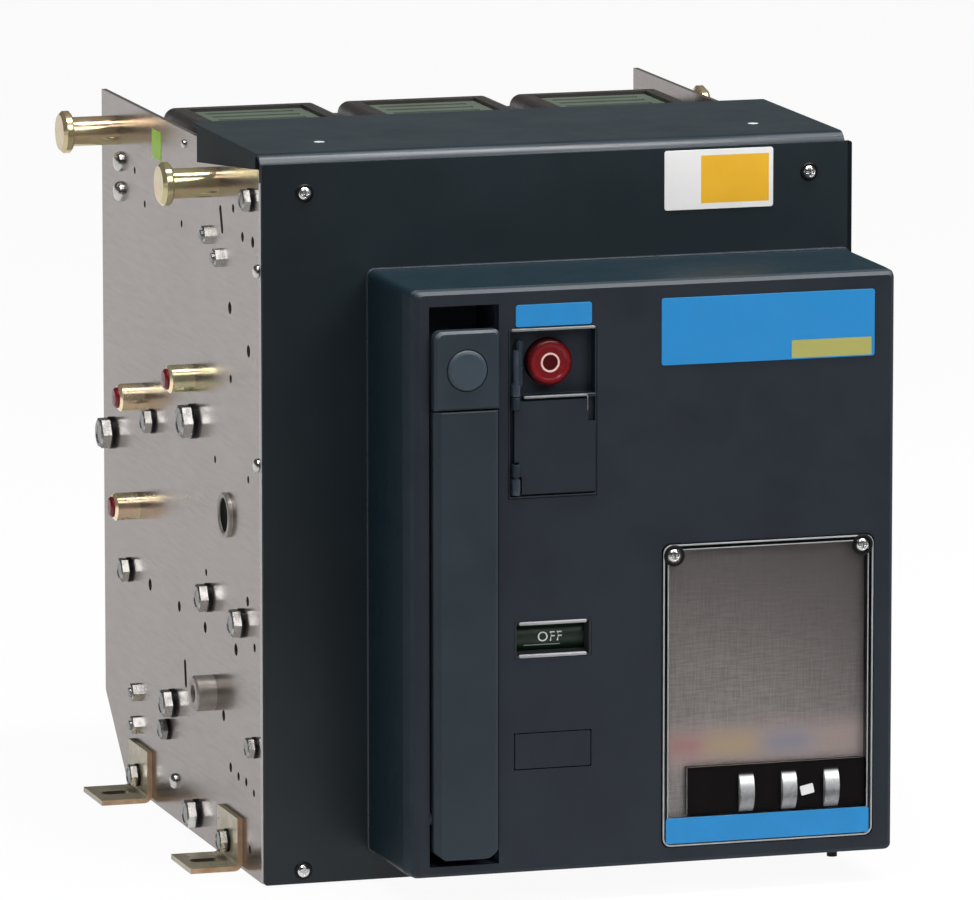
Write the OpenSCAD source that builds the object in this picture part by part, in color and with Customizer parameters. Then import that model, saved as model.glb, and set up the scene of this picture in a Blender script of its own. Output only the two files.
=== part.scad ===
// Fixed low-voltage air circuit breaker: three poles between two steel side plates, with a
// sheet shroud, a moulded facia and a manual handle in front.
// Millimetres. +Z is up and the front faces -Y. Heights start at the floor. Depths in this file
// are counted from the shroud's front face, and every node is moved so that the origin lies on
// the floor under the middle of the outline.

/* [Side plates] */
// Clear width between the two side plates
plate_gap = 332; // [324:1:350]
// Thickness of a side plate
plate_t = 3; // [2:0.5:3.5]
// Height of a side plate
plate_h = 415; // [400:1:440]
// Depth of a side plate behind the shroud's front panel
plate_d = 357; // [345:1:380]
// Depth of the lower front part of a side plate
step_d = 138; // [125:1:145]
// Drop of a side plate's top edge at its step, from which it climbs to the front
step_h = 15; // [12:1:18]
// Depth of the cut-off corner at the bottom rear
corner_d = 52; // [30:1:60]
// Height of the cut-off corner at the bottom rear
corner_h = 48; // [30:1:60]
// Outer radius of the bend at a side plate's front edge
plate_bend = 4; // [4:0.5:6]
// Width of the flange behind the front panel
plate_flange = 28; // [20:1:40]
// Diameter of the largest tooling holes
tool_hole_d = 7.2; // [5:0.2:8]

/* [Feet] */
// Width of a foot bracket
foot_w = 44; // [36:1:50]
// Height of a foot bracket's leg
foot_h = 31; // [26:1:36]
// Reach of a foot bracket beyond its side plate
foot_reach = 31; // [30:1:40]
// Thickness of a foot bracket
foot_t = 3; // [2.5:0.5:4]
// Width of the slot in a foot
foot_slot_w = 9; // [7:0.5:11]
// Length of the slot in a foot
foot_slot_l = 18; // [14:0.5:20]
// Distance from the front panel to the front feet's middle
foot_front_inset = 67; // [55:1:90]
// Distance from the cut-off corner to the rear feet's middle
foot_rear_inset = 35; // [24:1:60]

/* [Shroud] */
// How far the front panel reaches past the right side plate
panel_overhang = 15; // [11:1:20]
// Height of the front panel's top edge above the side plates
panel_rise = 2; // [1:0.5:3]
// Thickness of the front panel
panel_t = 3; // [2:0.5:4]
// Height of the panel and the side plates above the floor
floor_gap = 1; // [0.5:0.5:3]
// Depth of the folded edge on the panel's right side
panel_return = 20; // [12:1:30]
// Height of the top cover above the side plates
cover_rise = 7; // [6:0.5:9]
// Distance the top cover reaches back beyond the step in the side plates
cover_lap_d = 11; // [6:1:16]
// Thickness of the top cover's sheet
cover_t = 2; // [1.5:0.5:2.5]
// Outer radius of the top cover's front bend
cover_bend = 9; // [6:1:9]
// Distance from the top cover to the panel's right edge
cover_inset = 3; // [2:0.5:5]

/* [Facia] */
// Distance from the panel's left edge to the facia
facia_inset = 62; // [54:1:66]
// Distance from the facia to the panel's right edge
facia_margin = 2; // [0:0.5:5]
// Distance from the panel's top edge to the facia
facia_drop = 62.5; // [56:0.5:70]
// Height of the facia's lower edge
facia_low = 17.5; // [14:0.5:24]
// Depth of the facia
facia_d = 85; // [80:1:95]
// Wall thickness of the facia
facia_wall = 3; // [2.5:0.5:4]
// Radius of the facia's four corners, seen from the front
facia_r = 4; // [4:0.5:10]
// Width of the bevel round the facia's front
facia_bevel = 3; // [2:0.5:4]
// Width of the rounding along the facia's left front edge
facia_round = 6; // [4:0.5:8]
// Depth of the rounding along the facia's left front edge
facia_round_d = 14; // [10:1:18]

/* [Handle] */
// Width of the handle
lever_w = 38; // [34:1:40]
// Distance from the facia's left side to the handle
lever_inset = 13; // [12:1:16]
// Height of the handle's lower end above the facia's lower edge
lever_low = 9.5; // [9:0.5:14]
// Thickness of the handle
lever_t = 16; // [13:1:18]
// How far the handle stands out of the facia
lever_proud = 6; // [4:1:8]
// Gap between the handle and the sides of its slot
lever_gap = 1.5; // [1:0.25:2.5]
// Gap between the handle's round end and the bottom of its slot
lever_end_gap = 2.5; // [1.5:0.25:3]
// Radius of the handle's round lower end, about its pivot
lever_end_r = 25; // [22:1:28]
// Diameter of the handle's pivot pin
pivot_d = 8; // [6:0.5:9]
// Length of the handle's head
head_l = 45; // [40:1:50]
// How far the head stands out beyond the lever
head_proud = 0.5; // [0.5:0.25:2]
// Diameter of the round button on the head
disc_d = 23; // [20:0.5:28]
// How far the round button stands out of the head
disc_proud = 1.5; // [0.5:0.25:2]
// Height of the finger gap above the head
finger_gap = 13.5; // [10:0.5:15]
// Distance from the handle's slot to the facia's top
slot_margin = 9.5; // [9:0.5:12]
// Depth of the trough behind the handle's slot
trough_d = 44; // [42:1:60]

/* [Trip insert] */
// Distance from the handle to the trip insert
insert_gap = 7; // [6.5:0.5:10]
// Width of the trip insert
insert_w = 52.6; // [50:0.2:56]
// Distance from the facia's top to the trip insert
insert_drop = 24.5; // [20:0.5:30]
// Height of the trip insert
insert_h = 97; // [92:1:104]
// Height of the trip button's pocket
pocket_h = 37; // [34:0.5:39]
// Depth of the trip button's pocket
pocket_d = 7; // [6:0.5:9]
// Diameter of the trip button
button_d = 26; // [22:0.5:28]
// Length of the trip button
button_l = 21; // [20:0.5:26]
// Thickness of the padlock flap
flap_t = 3.6; // [2.5:0.1:4]
// Height of the finger notch in the flap's upper corner
flap_notch = 13; // [8:1:18]
// Diameter of the flap's hinge rod
rod_d = 3.2; // [2.4:0.2:3.6]

/* [Indicator] */
// Width of the indicator window and of the blank plug
window_w = 46; // [40:0.5:48]
// Height of the indicator window and of the blank plug
window_h = 21.4; // [18:0.2:24]
// Height of the indicator window's middle, as a share of the facia's height
indicator_at = 0.4; // [0.35:0.01:0.45]
// Height of the blank plug's middle, as a share of the facia's height
blank_at = 0.21; // [0.18:0.01:0.26]
// Radius of the indicator's drum
drum_r = 12; // [11:0.5:16]

/* [Release] */
// Distance from the trip insert to the release opening
release_gap = 42.4; // [36:0.2:50]
// Distance from the release opening to the facia's right side
release_inset = 16; // [14:0.5:20]
// Distance from the facia's lower edge to the release opening
release_low = 13.5; // [11:0.5:18]
// Height of the release opening, as a share of the facia's height
release_share = 0.5; // [0.46:0.01:0.54]
// Depth of the release's pocket behind the facia's front wall
release_pocket = 5; // [4.5:0.5:8]
// Depth of the release's housing
release_d = 52; // [40:1:60]
// How far the clear cover laps over the facia
clear_lap = 3.2; // [2:0.2:4]
// Thickness of the clear cover
clear_t = 2; // [1.5:0.25:2.5]
// How far the clear cover lies sunk in the facia
clear_sink = 1.5; // [1:0.25:2]
// Number of setting dials
dial_count = 3; // [2:1:4]
// Width of a setting dial
dial_w = 8.5; // [6:0.5:10]
// How far a setting dial stands out of its block
dial_rise = 4; // [3:0.25:5]

/* [Side pins] */
// Diameter of a lifting pin's shaft
pin_d = 17.6; // [14:0.2:20]
// Length of a lifting pin
pin_l = 34; // [30:1:40]
// Diameter of a lifting pin's head
pin_head_d = 25.4; // [23:0.2:28]
// Thickness of a lifting pin's head
pin_head_t = 6.5; // [4:0.5:8]
// Distance from the side plates' top edge to the lifting pins
pin_drop = 21; // [20:0.5:30]
// Distance from the side plates' rear edge to the rear lifting pins
pin_rear_inset = 30; // [20:1:40]
// Length of a locating pin
locator_l = 15; // [12:0.5:20]
// Diameter of a locating pin
locator_d = 16.5; // [12:0.5:18]
// Outer diameter of the ring bush
ring_d = 26; // [22:0.5:30]
// Outer diameter of the tube bush
tube_d = 21; // [18:0.5:24]
// Length of the tube bush
tube_l = 12; // [8:0.5:16]
// Diameter of the tie bars between the side plates
bar_d = 10; // [8:0.5:14]

/* [Poles] */
// Distance from the outer poles' middle thirds to the side plates
pole_margin = 5.5; // [4:0.5:8]
// Height of an arc chute
chute_h = 82; // [70:1:95]
// Wall thickness of an arc chute's sides
chute_wall = 13; // [10:0.5:15]
// Depth of the opening in an arc chute's top
chute_mouth = 16; // [14:1:24]
// Depth of the vent plate below an arc chute's rim
vent_sink = 2; // [1:0.5:6]
// Number of slots in a vent plate
vent_slots = 8; // [5:1:10]
// Distance from the side plates' rear edge to the poles' rear face
pole_inset = 15; // [10:1:20]
// Reach of a terminal behind the poles
terminal_reach = 55; // [45:1:70]
// Width of a terminal
terminal_w = 60; // [50:1:66]
// Thickness of a terminal
terminal_t = 12; // [8:1:15]
// Height of the upper terminals, as a share of the side plates' height
terminal_high_at = 0.7; // [0.66:0.01:0.74]
// Height of the lower terminals, as a share of the side plates' height
terminal_low_at = 0.3; // [0.26:0.01:0.36]
// Diameter of the holes in a terminal
terminal_hole_d = 11; // [9:0.5:14]
// Distance between a terminal's two holes
terminal_hole_pitch = 30; // [26:1:34]

/* [Hidden] */
$fn = 48;
eps = 0.01;
slab_t = 0.5;
run_fit = 0.05;
slide_fit = 0.4;
seat_gap = 0.3;

// Depth and height of a point on a side plate, from its shares of the plate's size
function depth_at(share) = panel_t + share * plate_d;
function height_at(share) = floor_gap + share * plate_h;

// Height of a side plate's sloping top edge in front of its step
function edge_z(y) = step_z + (step_h - edge_drop) * (step_y - y) / (step_d - plate_bend);

half_in = plate_gap / 2;
half_out = half_in + plate_t;
plate_top = floor_gap + plate_h;
plate_rear = panel_t + plate_d;
step_y = panel_t + step_d;
step_z = plate_top - step_h;
edge_drop = 1.5;
bend_top = plate_top - 9;
foot_front = panel_t + foot_front_inset;
foot_rear = plate_rear - corner_d - foot_rear_inset;
foot_slot_x = half_out + (foot_t + foot_reach) / 2;

panel_x0 = -half_out;
panel_x1 = half_out + panel_overhang;
panel_top = plate_top + panel_rise;
cover_x1 = panel_x1 - cover_inset;
cover_top = plate_top + cover_rise;
cover_rear = step_y + cover_lap_d;

facia_x0 = panel_x0 + facia_inset;
facia_x1 = panel_x1 - facia_margin;
facia_top = panel_top - facia_drop;
facia_h = facia_top - facia_low;
face_y = -facia_d;
back_y = face_y + facia_wall;

lever_x0 = facia_x0 + lever_inset;
lever_x1 = lever_x0 + lever_w;
lever_mid = (lever_x0 + lever_x1) / 2;
lever_z0 = facia_low + lever_low;
slot_x0 = lever_x0 - lever_gap;
slot_x1 = lever_x1 + lever_gap;
slot_z0 = lever_z0 - lever_end_gap;
slot_z1 = facia_top - slot_margin;
head_z1 = slot_z1 - finger_gap;
head_z0 = head_z1 - head_l;
head_joint = 1;
lever_y0 = face_y - lever_proud;
lever_y1 = lever_y0 + lever_t;
pivot_y = lever_y1 - 5;
pivot_z = lever_z0 + lever_end_r;
head_y0 = lever_y0 - head_proud;
head_y1 = lever_y0 + lever_t / 2;
disc_y0 = head_y0 - disc_proud;
disc_sink = 1.2;
disc_z = (head_z0 + head_z1) / 2;
trough_wall = 2;
trough_y1 = back_y + trough_d;

insert_x0 = lever_x1 + insert_gap;
insert_x1 = insert_x0 + insert_w;
insert_z1 = facia_top - insert_drop;
insert_z0 = insert_z1 - insert_h;
insert_edge = 1.3;
insert_floor = 2.5;
flange = 2.5;
flange_t = 2;
pocket_z1 = insert_z1 - insert_edge;
pocket_z0 = pocket_z1 - pocket_h;
pocket_y = face_y + pocket_d;
guide_l = 13;
guide_wall = 3;
button_x = (insert_x0 + insert_x1) / 2 - 1.3;
button_z = (pocket_z0 + pocket_z1) / 2;
flap_bed_y = face_y + 2.6;
flap_y0 = flap_bed_y - 0.7 - flap_t;
flap_z0 = insert_z0 + insert_edge + 1.5;
flap_z1 = pocket_z0 - 2.7;
barrel_d = rod_d + 1.9;
rod_x = insert_x0 + 4;
rod_y = flap_y0 - 0.1;
rod_top = pocket_z0 + pocket_h * 0.72;
lug_l = 9;
lug_top_z = pocket_z0 + 0.6;
lug_top_l = 6.5;

column_x = (insert_x0 + insert_x1) / 2 + 0.2;
indicator_mid = facia_low + indicator_at * facia_h;
blank_mid = facia_low + blank_at * facia_h;
frame_d = 6;

release_x0 = insert_x1 + release_gap;
release_x1 = facia_x1 - release_inset;
release_w = release_x1 - release_x0;
release_z0 = facia_low + release_low;
release_h = release_share * facia_h;
release_z1 = release_z0 + release_h;
release_floor = back_y + release_pocket;
release_wall = 3;
release_plate_t = 2;
release_face = release_floor - release_plate_t;
clear_y0 = face_y + clear_sink - clear_t;
clear_y1 = face_y + clear_sink;
dial_block_x0 = release_x0 + release_w * 0.1;
dial_block_x1 = release_x1 - 0.6;
dial_block_z0 = release_z0 + release_h * 0.083;
dial_block_z1 = release_z0 + release_h * 0.249;
dial_block_y = clear_y1 + 0.5;
dial_pitch = release_w * 0.2133;
dial_x1 = release_x1 - release_w * 0.1767;
dial_z = dial_block_z0 + (dial_block_z1 - dial_block_z0) * 0.42;
dial_r = 18;

pole_pitch = (plate_gap - 2 * pole_margin) / 3;
pole_rear = plate_rear - pole_inset;
pole_front = depth_at(0.412);
pole_split = (pole_pitch - seat_gap) / 2;
pole_low = height_at(0.106);
pole_top = plate_top - 18;
chute_w = pole_pitch - 11;
chute_top = plate_top - 0.5;
chute_seat = chute_top - chute_h;
chute_front = depth_at(0.356);
chute_rear = depth_at(0.742);
chute_end = 7;
terminal_high = height_at(terminal_high_at);
terminal_low = height_at(terminal_low_at);
rear_y = pole_rear + terminal_reach;
mid_y = (disc_y0 + rear_y) / 2;
pin_z = plate_top - pin_drop;
pin_rear = plate_rear - pin_rear_inset;
pin_front = depth_at(0.272);

// Places on a side plate, as shares of its depth and height: tooling holes, each with its share of the
// largest diameter, then slots with their slant, the locating pins, the two bushes and the tie bars
tool_holes = [
    [0.188, 0.783, 1], [0.076, 0.737, 1], [0.185, 0.684, 0.7], [0.283, 0.557, 0.6], [0.081, 0.557, 0.6],
    [0.700, 0.316, 1], [0.342, 0.388, 0.6], [0.109, 0.892, 0.8], [0.048, 0.892, 0.9], [0.485, 0.865, 0.6],
    [0.720, 0.865, 0.6], [0.784, 0.906, 0.6], [0.513, 0.313, 0.9], [0.350, 0.308, 0.9], [0.160, 0.306, 1],
    [0.238, 0.200, 0.9], [0.196, 0.133, 0.8], [0.148, 0.128, 0.7], [0.101, 0.128, 0.7], [0.081, 0.036, 0.7],
    [0.088, 0.385, 0.8], [0.047, 0.326, 0.7], [0.055, 0.120, 0.6], [0.165, 0.925, 0.7]
];
slots = [[0.238, 0.901, -18], [0.476, 0.222, -8]];
locators = [[0.426, 0.653], [0.748, 0.583], [0.784, 0.419]];
ring_bush = [0.210, 0.489];
tube_bush = [0.305, 0.222];
tie_bars_at = [[0.123, 0.349], [0.059, 0.952], [0.048, 0.186], ring_bush, tube_bush];

// Moves a node from the shroud's depths to the part's own origin
module placed() {
    translate([0, -mid_y, 0]) children();
}

// A block between two opposite corners
module box(low, high) {
    translate(low) cube(high - low);
}

// A flat outline in depth and height, carried along X
module along_x(x0, x1) {
    translate([x0, 0, 0]) rotate([90, 0, 90]) linear_extrude(x1 - x0) children();
}

// A flat outline in X and height, carried along Y
module along_y(y0, y1) {
    translate([0, y1, 0]) rotate([90, 0, 0]) linear_extrude(y1 - y0) children();
}

// A flat outline in X and depth, carried along Z
module along_z(z0, z1) {
    translate([0, 0, z0]) linear_extrude(z1 - z0) children();
}

module rod_along_x(x0, x1, y, z, d) {
    translate([x0, y, z]) rotate([0, 90, 0]) cylinder(h = x1 - x0, d = d);
}

module rod_along_y(x, z, y0, y1, d) {
    translate([x, y0, z]) rotate([-90, 0, 0]) cylinder(h = y1 - y0, d = d);
}

// A turned piece on the left side plate's outer face, whose profile gives radius and distance
module turned_out(y, z) {
    translate([-half_out, y, z]) rotate([0, -90, 0]) rotate_extrude() children();
}

// A rectangle between two corners
module rect(x0, x1, z0, z1) {
    translate([x0, z0]) square([x1 - x0, z1 - z0]);
}

// A rectangle with round corners
module round_rect(x0, x1, z0, z1, r) {
    rect(x0 + r, x1 - r, z0, z1);
    rect(x0, x1, z0 + r, z1 - r);
    for (x = [x0 + r, x1 - r], z = [z0 + r, z1 - r]) translate([x, z]) circle(r);
}

// The lower left quarter of a bent sheet's end, with its outer corner at the origin
module bend_quarter(r, t) {
    intersection() {
        translate([r, r]) difference() {
            circle(r);
            circle(r - t);
        }
        square(r);
    }
}

// Shows its children on the left side, or mirrored on the right
module on_side(side) {
    if (side < 0) children();
    else mirror([1, 0, 0]) children();
}

module side_plate(side) {
    flat_y = panel_t + plate_bend;
    slot_w = 5;
    slot_l = 12;
    color("gainsboro") placed() on_side(side) {
        difference() {
            along_x(-half_out, -half_in) polygon([
                [flat_y, floor_gap], [plate_rear - corner_d, floor_gap], [plate_rear, floor_gap + corner_h],
                [plate_rear, plate_top], [step_y, plate_top], [step_y, step_z], [flat_y, edge_z(flat_y)]
            ]);
            for (p = tool_holes)
                rod_along_x(-half_out - 1, -half_in + 1, depth_at(p[0]), height_at(p[1]), p[2] * tool_hole_d);
            along_x(-half_out - 1, -half_in + 1) for (p = slots)
                translate([depth_at(p[0]), height_at(p[1])]) rotate(p[2]) {
                    square([slot_w, slot_l], center = true);
                    for (s = [-1, 1]) translate([0, s * slot_l / 2]) circle(d = slot_w);
                }
        }
        along_z(floor_gap, bend_top) translate([-half_out, panel_t]) {
            bend_quarter(plate_bend, plate_t);
            rect(plate_bend, plate_flange, 0, plate_t);
        }
    }
}

module foot(side, y) {
    bend = foot_t + 2;
    slot_half = (foot_slot_l - foot_slot_w) / 2;
    color("darkkhaki") placed() on_side(side) difference() {
        translate([0, y - foot_w / 2, 0]) mirror([1, 0, 0]) along_y(0, foot_w) translate([half_out, 0]) {
            rect(0, foot_t, bend, foot_h);
            rect(bend, foot_reach, 0, foot_t);
            bend_quarter(bend, foot_t);
        }
        along_z(-1, foot_t + 1) translate([-foot_slot_x, y]) {
            square([2 * slot_half, foot_slot_w], center = true);
            for (s = [-1, 1]) translate([s * slot_half, 0]) circle(d = foot_slot_w);
        }
    }
}

module front_panel() {
    color("#2b3440") placed() {
        along_y(0, panel_t) round_rect(panel_x0, panel_x1, floor_gap, panel_top, 1.5);
        box([panel_x1 - cover_t, panel_t - eps, floor_gap + 4], [panel_x1, panel_return, bend_top - 4]);
    }
}

module top_cover() {
    lip_y = panel_t + seat_gap;
    lip_h = 6;
    bend_y = lip_y + cover_bend;
    bend_z = cover_top - cover_bend;
    side_y0 = bend_y + 2;
    side_y1 = step_y - seat_gap;
    color("#333b46") placed() {
        along_x(panel_x0, cover_x1) {
            rect(bend_y, cover_rear, cover_top - cover_t, cover_top);
            rect(lip_y, lip_y + cover_t, bend_z - lip_h, bend_z);
            translate([lip_y, cover_top]) mirror([0, 1]) bend_quarter(cover_bend, cover_t);
        }
        for (x = [panel_x0, cover_x1 - cover_t]) along_x(x, x + cover_t) polygon([
            [side_y0, edge_z(side_y0) + seat_gap], [side_y1, edge_z(side_y1) + seat_gap],
            [side_y1, cover_top - cover_t + eps], [side_y0, cover_top - cover_t + eps]
        ]);
    }
}

// A slab of the facia's outline, drawn in by one distance at the left and by another elsewhere
module facia_slab(y0, y1, left, inset) {
    along_y(y0, y1) round_rect(facia_x0 + left, facia_x1 - inset, facia_low + inset, facia_top - inset,
                               facia_r - inset / 2, $fn = 32);
}

// The opening for the indicator or for the blank plug
module window_hole(z) {
    box([column_x - window_w / 2, face_y - 1, z - window_h / 2],
        [column_x + window_w / 2, back_y + 1, z + window_h / 2]);
}

// The outline of the clear cover, made larger by a gap
module clear_outline(gap) {
    l = clear_lap + gap;
    round_rect(release_x0 - l, release_x1 + l, release_z0 - l, release_z1 + l, 5);
}

module facia() {
    in = facia_wall;
    color("#2d333c") placed() difference() {
        hull() {
            facia_slab(face_y + facia_round_d, 0, 0, 0);
            facia_slab(face_y + facia_round_d / 3, 0, facia_round / 4, facia_bevel / 15);
            facia_slab(face_y + facia_bevel / 2, face_y + facia_bevel, facia_round / 2, facia_bevel / 3);
            facia_slab(face_y, face_y + slab_t, facia_round, facia_bevel);
        }
        along_y(back_y, 1)
            round_rect(facia_x0 + in, facia_x1 - in, facia_low + in, facia_top - in, facia_r - in);
        box([slot_x0, face_y - 1, slot_z0], [slot_x1, 1, slot_z1]);
        box([insert_x0, face_y - 1, insert_z0], [insert_x1, back_y + 1, insert_z1]);
        for (z = [indicator_mid, blank_mid]) window_hole(z);
        box([release_x0, face_y - 1, release_z0], [release_x1, back_y + 1, release_z1]);
        along_y(face_y - 1, clear_y1) clear_outline(0.6);
    }
}

module handle_trough() {
    w = trough_wall;
    color("#15181c") placed() {
        difference() {
            box([slot_x0 - w, back_y, slot_z0 - w], [slot_x1 + w, trough_y1, slot_z1 + w]);
            box([slot_x0, back_y - 1, slot_z0], [slot_x1, trough_y1 - w, slot_z1]);
        }
        rod_along_x(slot_x0 - eps, slot_x1 + eps, pivot_y, pivot_z, pivot_d);
    }
}

// A wedge that cuts a corner off, w along the first axis and h along the second
module corner_cut(w, h) {
    polygon([[-1, -1], [w, -1], [w, 0], [0, h], [-1, h]]);
}

module handle_lever() {
    foot_cut = [8.5, 6.6];
    left_cut = [4, 3];
    right_cut = [2, 1.5];
    tongue_inset = 5;
    tongue_drop = 4;
    color("#333a43") placed() difference() {
        union() {
            along_x(lever_x0, lever_x1) {
                rect(lever_y0, lever_y1, pivot_z, head_z0 - head_joint);
                intersection() {
                    translate([pivot_y, pivot_z]) circle(lever_end_r, $fn = 96);
                    rect(lever_y0, lever_y1, lever_z0 - 1, pivot_z + 1);
                }
            }
            box([lever_x0 + tongue_inset, head_y1, head_z0 - 2],
                [lever_x1 - tongue_inset, lever_y1, head_z1 - tongue_drop]);
        }
        along_y(lever_y0 - 1, lever_y1 + 1) {
            translate([lever_x0, lever_z0]) corner_cut(foot_cut[0], foot_cut[1]);
            translate([lever_x1, lever_z0]) mirror([1, 0]) corner_cut(foot_cut[0], foot_cut[1]);
        }
        along_z(lever_z0 - 1, head_z0) {
            translate([lever_x0, lever_y0]) corner_cut(left_cut[0], left_cut[1]);
            translate([lever_x1, lever_y0]) mirror([1, 0]) corner_cut(right_cut[0], right_cut[1]);
        }
        rod_along_x(lever_x0 - 1, lever_x1 + 1, pivot_y, pivot_z, pivot_d + 2 * run_fit);
    }
}

// A slab of the head's outline, with its round upper corners, drawn in by a bevel
module head_slab(y, inset) {
    x0 = lever_x0 + inset;
    x1 = lever_x1 - inset;
    z0 = head_z0 + inset;
    z1 = head_z1 - inset;
    left_r = 5;
    right_r = 2;
    along_y(y, y + slab_t) polygon(concat(
        [[x0, z0], [x1, z0]],
        [for (a = [0 : 30 : 90]) [x1 - right_r + right_r * cos(a), z1 - right_r + right_r * sin(a)]],
        [for (a = [90 : 15 : 180]) [x0 + left_r + left_r * cos(a), z1 - left_r + left_r * sin(a)]]
    ));
}

module handle_head() {
    bevel = 1.5;
    groove = 0.6;
    color("#353c45") placed() difference() {
        hull() {
            head_slab(head_y1 - slab_t, 0);
            head_slab(head_y0 + bevel, 0);
            head_slab(head_y0, bevel);
        }
        rod_along_y(lever_mid, disc_z, head_y0 - 1, head_y0 + disc_sink, disc_d + 2 * groove);
    }
}

module handle_disc() {
    r = disc_d / 2;
    l = head_y0 + disc_sink - disc_y0;
    color("#4a525c") placed() translate([lever_mid, disc_y0, disc_z]) rotate([-90, 0, 0]) rotate_extrude()
        polygon([[0, 0], [r - 1.8, 0], [r - 0.6, 0.4], [r, 1.3], [r, l], [0, l]]);
}

module trip_insert() {
    g = 0.2;
    e = insert_edge;
    guide_d = button_d + 2 * guide_wall;
    color("#24292f") placed() difference() {
        union() {
            box([insert_x0 + g, face_y, insert_z0 + g],
                [insert_x1 - g, pocket_y + insert_floor, insert_z1 - g]);
            box([insert_x0 - flange, back_y, insert_z0 - flange],
                [insert_x1 + flange, back_y + flange_t, insert_z1 + flange]);
            rod_along_y(button_x, button_z, pocket_y, pocket_y + guide_l, guide_d);
        }
        box([insert_x0 + e, face_y - 1, pocket_z0], [insert_x1 - e, pocket_y, pocket_z1]);
        box([insert_x0 + e, face_y - 1, insert_z0 + e], [insert_x1 - e, flap_bed_y, pocket_z0 - 2]);
        box([insert_x0 + e, face_y - 1, insert_z0 + e], [rod_x + barrel_d, flap_bed_y, pocket_z0 + eps]);
        rod_along_y(button_x, button_z, face_y - 1, pocket_y + guide_l + 1, button_d + 2 * slide_fit);
    }
}

module trip_button() {
    r = button_d / 2;
    dish = 0.8;
    color("#a3161c") placed() translate([button_x, face_y, button_z]) rotate([-90, 0, 0]) rotate_extrude()
        polygon([[0, dish], [r - 4, dish], [r - 3, 0], [r - 1.2, 0], [r, 1.2], [r, button_l], [0, button_l]]);
}

module padlock_flap() {
    x1 = insert_x1 - insert_edge - slide_fit;
    notch_z = flap_z0 + lug_l + 1;
    notch_w = 4;
    x0 = rod_x - 0.8;
    barrel_z0 = notch_z + 0.5;
    barrel_z1 = lug_top_z - 0.7;
    barrel_l = 7;
    color("#2d333b") placed() difference() {
        union() {
            box([x0, flap_y0, flap_z0], [x1, flap_y0 + flap_t, flap_z1]);
            for (z = [barrel_z0, barrel_z1 - barrel_l])
                translate([rod_x, rod_y, z]) cylinder(h = barrel_l, d = barrel_d);
        }
        box([rod_x - barrel_d, flap_y0 - 1, flap_z0 - 1],
            [rod_x + barrel_d / 2 + 1, flap_y0 + flap_t + 1, notch_z]);
        box([x1 - notch_w, flap_y0 - 1, flap_z1 - flap_notch], [x1 + 1, flap_y0 + flap_t + 1, flap_z1 + 1]);
        for (z = [barrel_z0 - 1, barrel_z1 - barrel_l - 0.5])
            translate([rod_x, rod_y, z]) cylinder(h = barrel_l + 2, d = rod_d + 2 * run_fit);
    }
}

// One lug of the flap's hinge, standing on a floor behind it
module hinge_lug(z, l, floor_y) {
    translate([rod_x, rod_y, z]) cylinder(h = l, d = barrel_d);
    box([rod_x - barrel_d / 2, rod_y, z], [rod_x + barrel_d / 2, floor_y, z + l]);
}

module flap_hinge() {
    stub_l = 7;
    color("#3a4048") placed() {
        hinge_lug(flap_z0, lug_l, flap_bed_y);
        hinge_lug(lug_top_z, lug_top_l, pocket_y);
        translate([rod_x, rod_y, flap_z0]) cylinder(h = lug_l + stub_l, d = rod_d);
        translate([rod_x, rod_y, lug_top_z - stub_l]) cylinder(h = rod_top - lug_top_z + stub_l, d = rod_d);
    }
}

module indicator_frame() {
    g = 0.2;
    w = window_w / 2;
    h = window_h / 2;
    z = indicator_mid;
    color("#20252b") placed() difference() {
        union() {
            box([column_x - w + g, face_y, z - h + g], [column_x + w - g, face_y + frame_d, z + h - g]);
            box([column_x - w - flange, back_y, z - h - flange],
                [column_x + w + flange, back_y + flange_t, z + h + flange]);
        }
        hull() {
            box([column_x - w + 1.5, face_y - 1, z - h + 1], [column_x + w - 1.5, face_y, z + h - 1]);
            box([column_x - w + 3, face_y + frame_d, z - h + 4],
                [column_x + w - 3, face_y + frame_d + 1, z + h - 4]);
        }
    }
}

module indicator_drum() {
    w = window_w / 2 - 2.5;
    y = face_y + frame_d + seat_gap + drum_r;
    color("#1f4a2c") placed() rod_along_x(column_x - w, column_x + w, y, indicator_mid, 2 * drum_r);
}

module blank_plug() {
    g = 0.6;
    w = window_w / 2;
    h = window_h / 2;
    color("#2b3038") placed() {
        along_y(face_y, back_y + flange_t)
            round_rect(column_x - w + g, column_x + w - g, blank_mid - h + g, blank_mid + h - g, 1);
        box([column_x - w - flange, back_y, blank_mid - h - flange],
            [column_x + w + flange, back_y + flange_t, blank_mid + h + flange]);
    }
}

module release_housing() {
    w = release_wall;
    color("#1a1d21") placed() difference() {
        box([release_x0 - w, back_y, release_z0 - w], [release_x1 + w, back_y + release_d, release_z1 + w]);
        box([release_x0, back_y - 1, release_z0], [release_x1, release_floor, release_z1]);
    }
}

module release_plate() {
    g = 0.3;
    color("silver") placed()
        box([release_x0 + g, release_face, release_z0 + g], [release_x1 - g, release_floor, release_z1 - g]);
}

module dial_block() {
    color("#0d0e10") placed()
        box([dial_block_x0, dial_block_y, dial_block_z0], [dial_block_x1, release_face, dial_block_z1]);
}

module setting_dials() {
    y0 = dial_block_y - dial_rise;
    color("whitesmoke") placed() for (i = [0 : dial_count - 1]) {
        x = dial_x1 - i * dial_pitch - dial_w / 2;
        intersection() {
            rod_along_x(x, x + dial_w, y0 + dial_r, dial_z, 2 * dial_r);
            box([x - 1, y0 - 1, dial_z - dial_r], [x + dial_w + 1, dial_block_y, dial_z + dial_r]);
        }
    }
}

module release_cover() {
    g = seat_gap;
    color("lightgrey", 0.4) placed() along_y(clear_y0, clear_y1) difference() {
        clear_outline(0);
        rect(dial_block_x0 - g, dial_block_x1 + g, dial_block_z0 - g, dial_block_z1 + g);
    }
}

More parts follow.
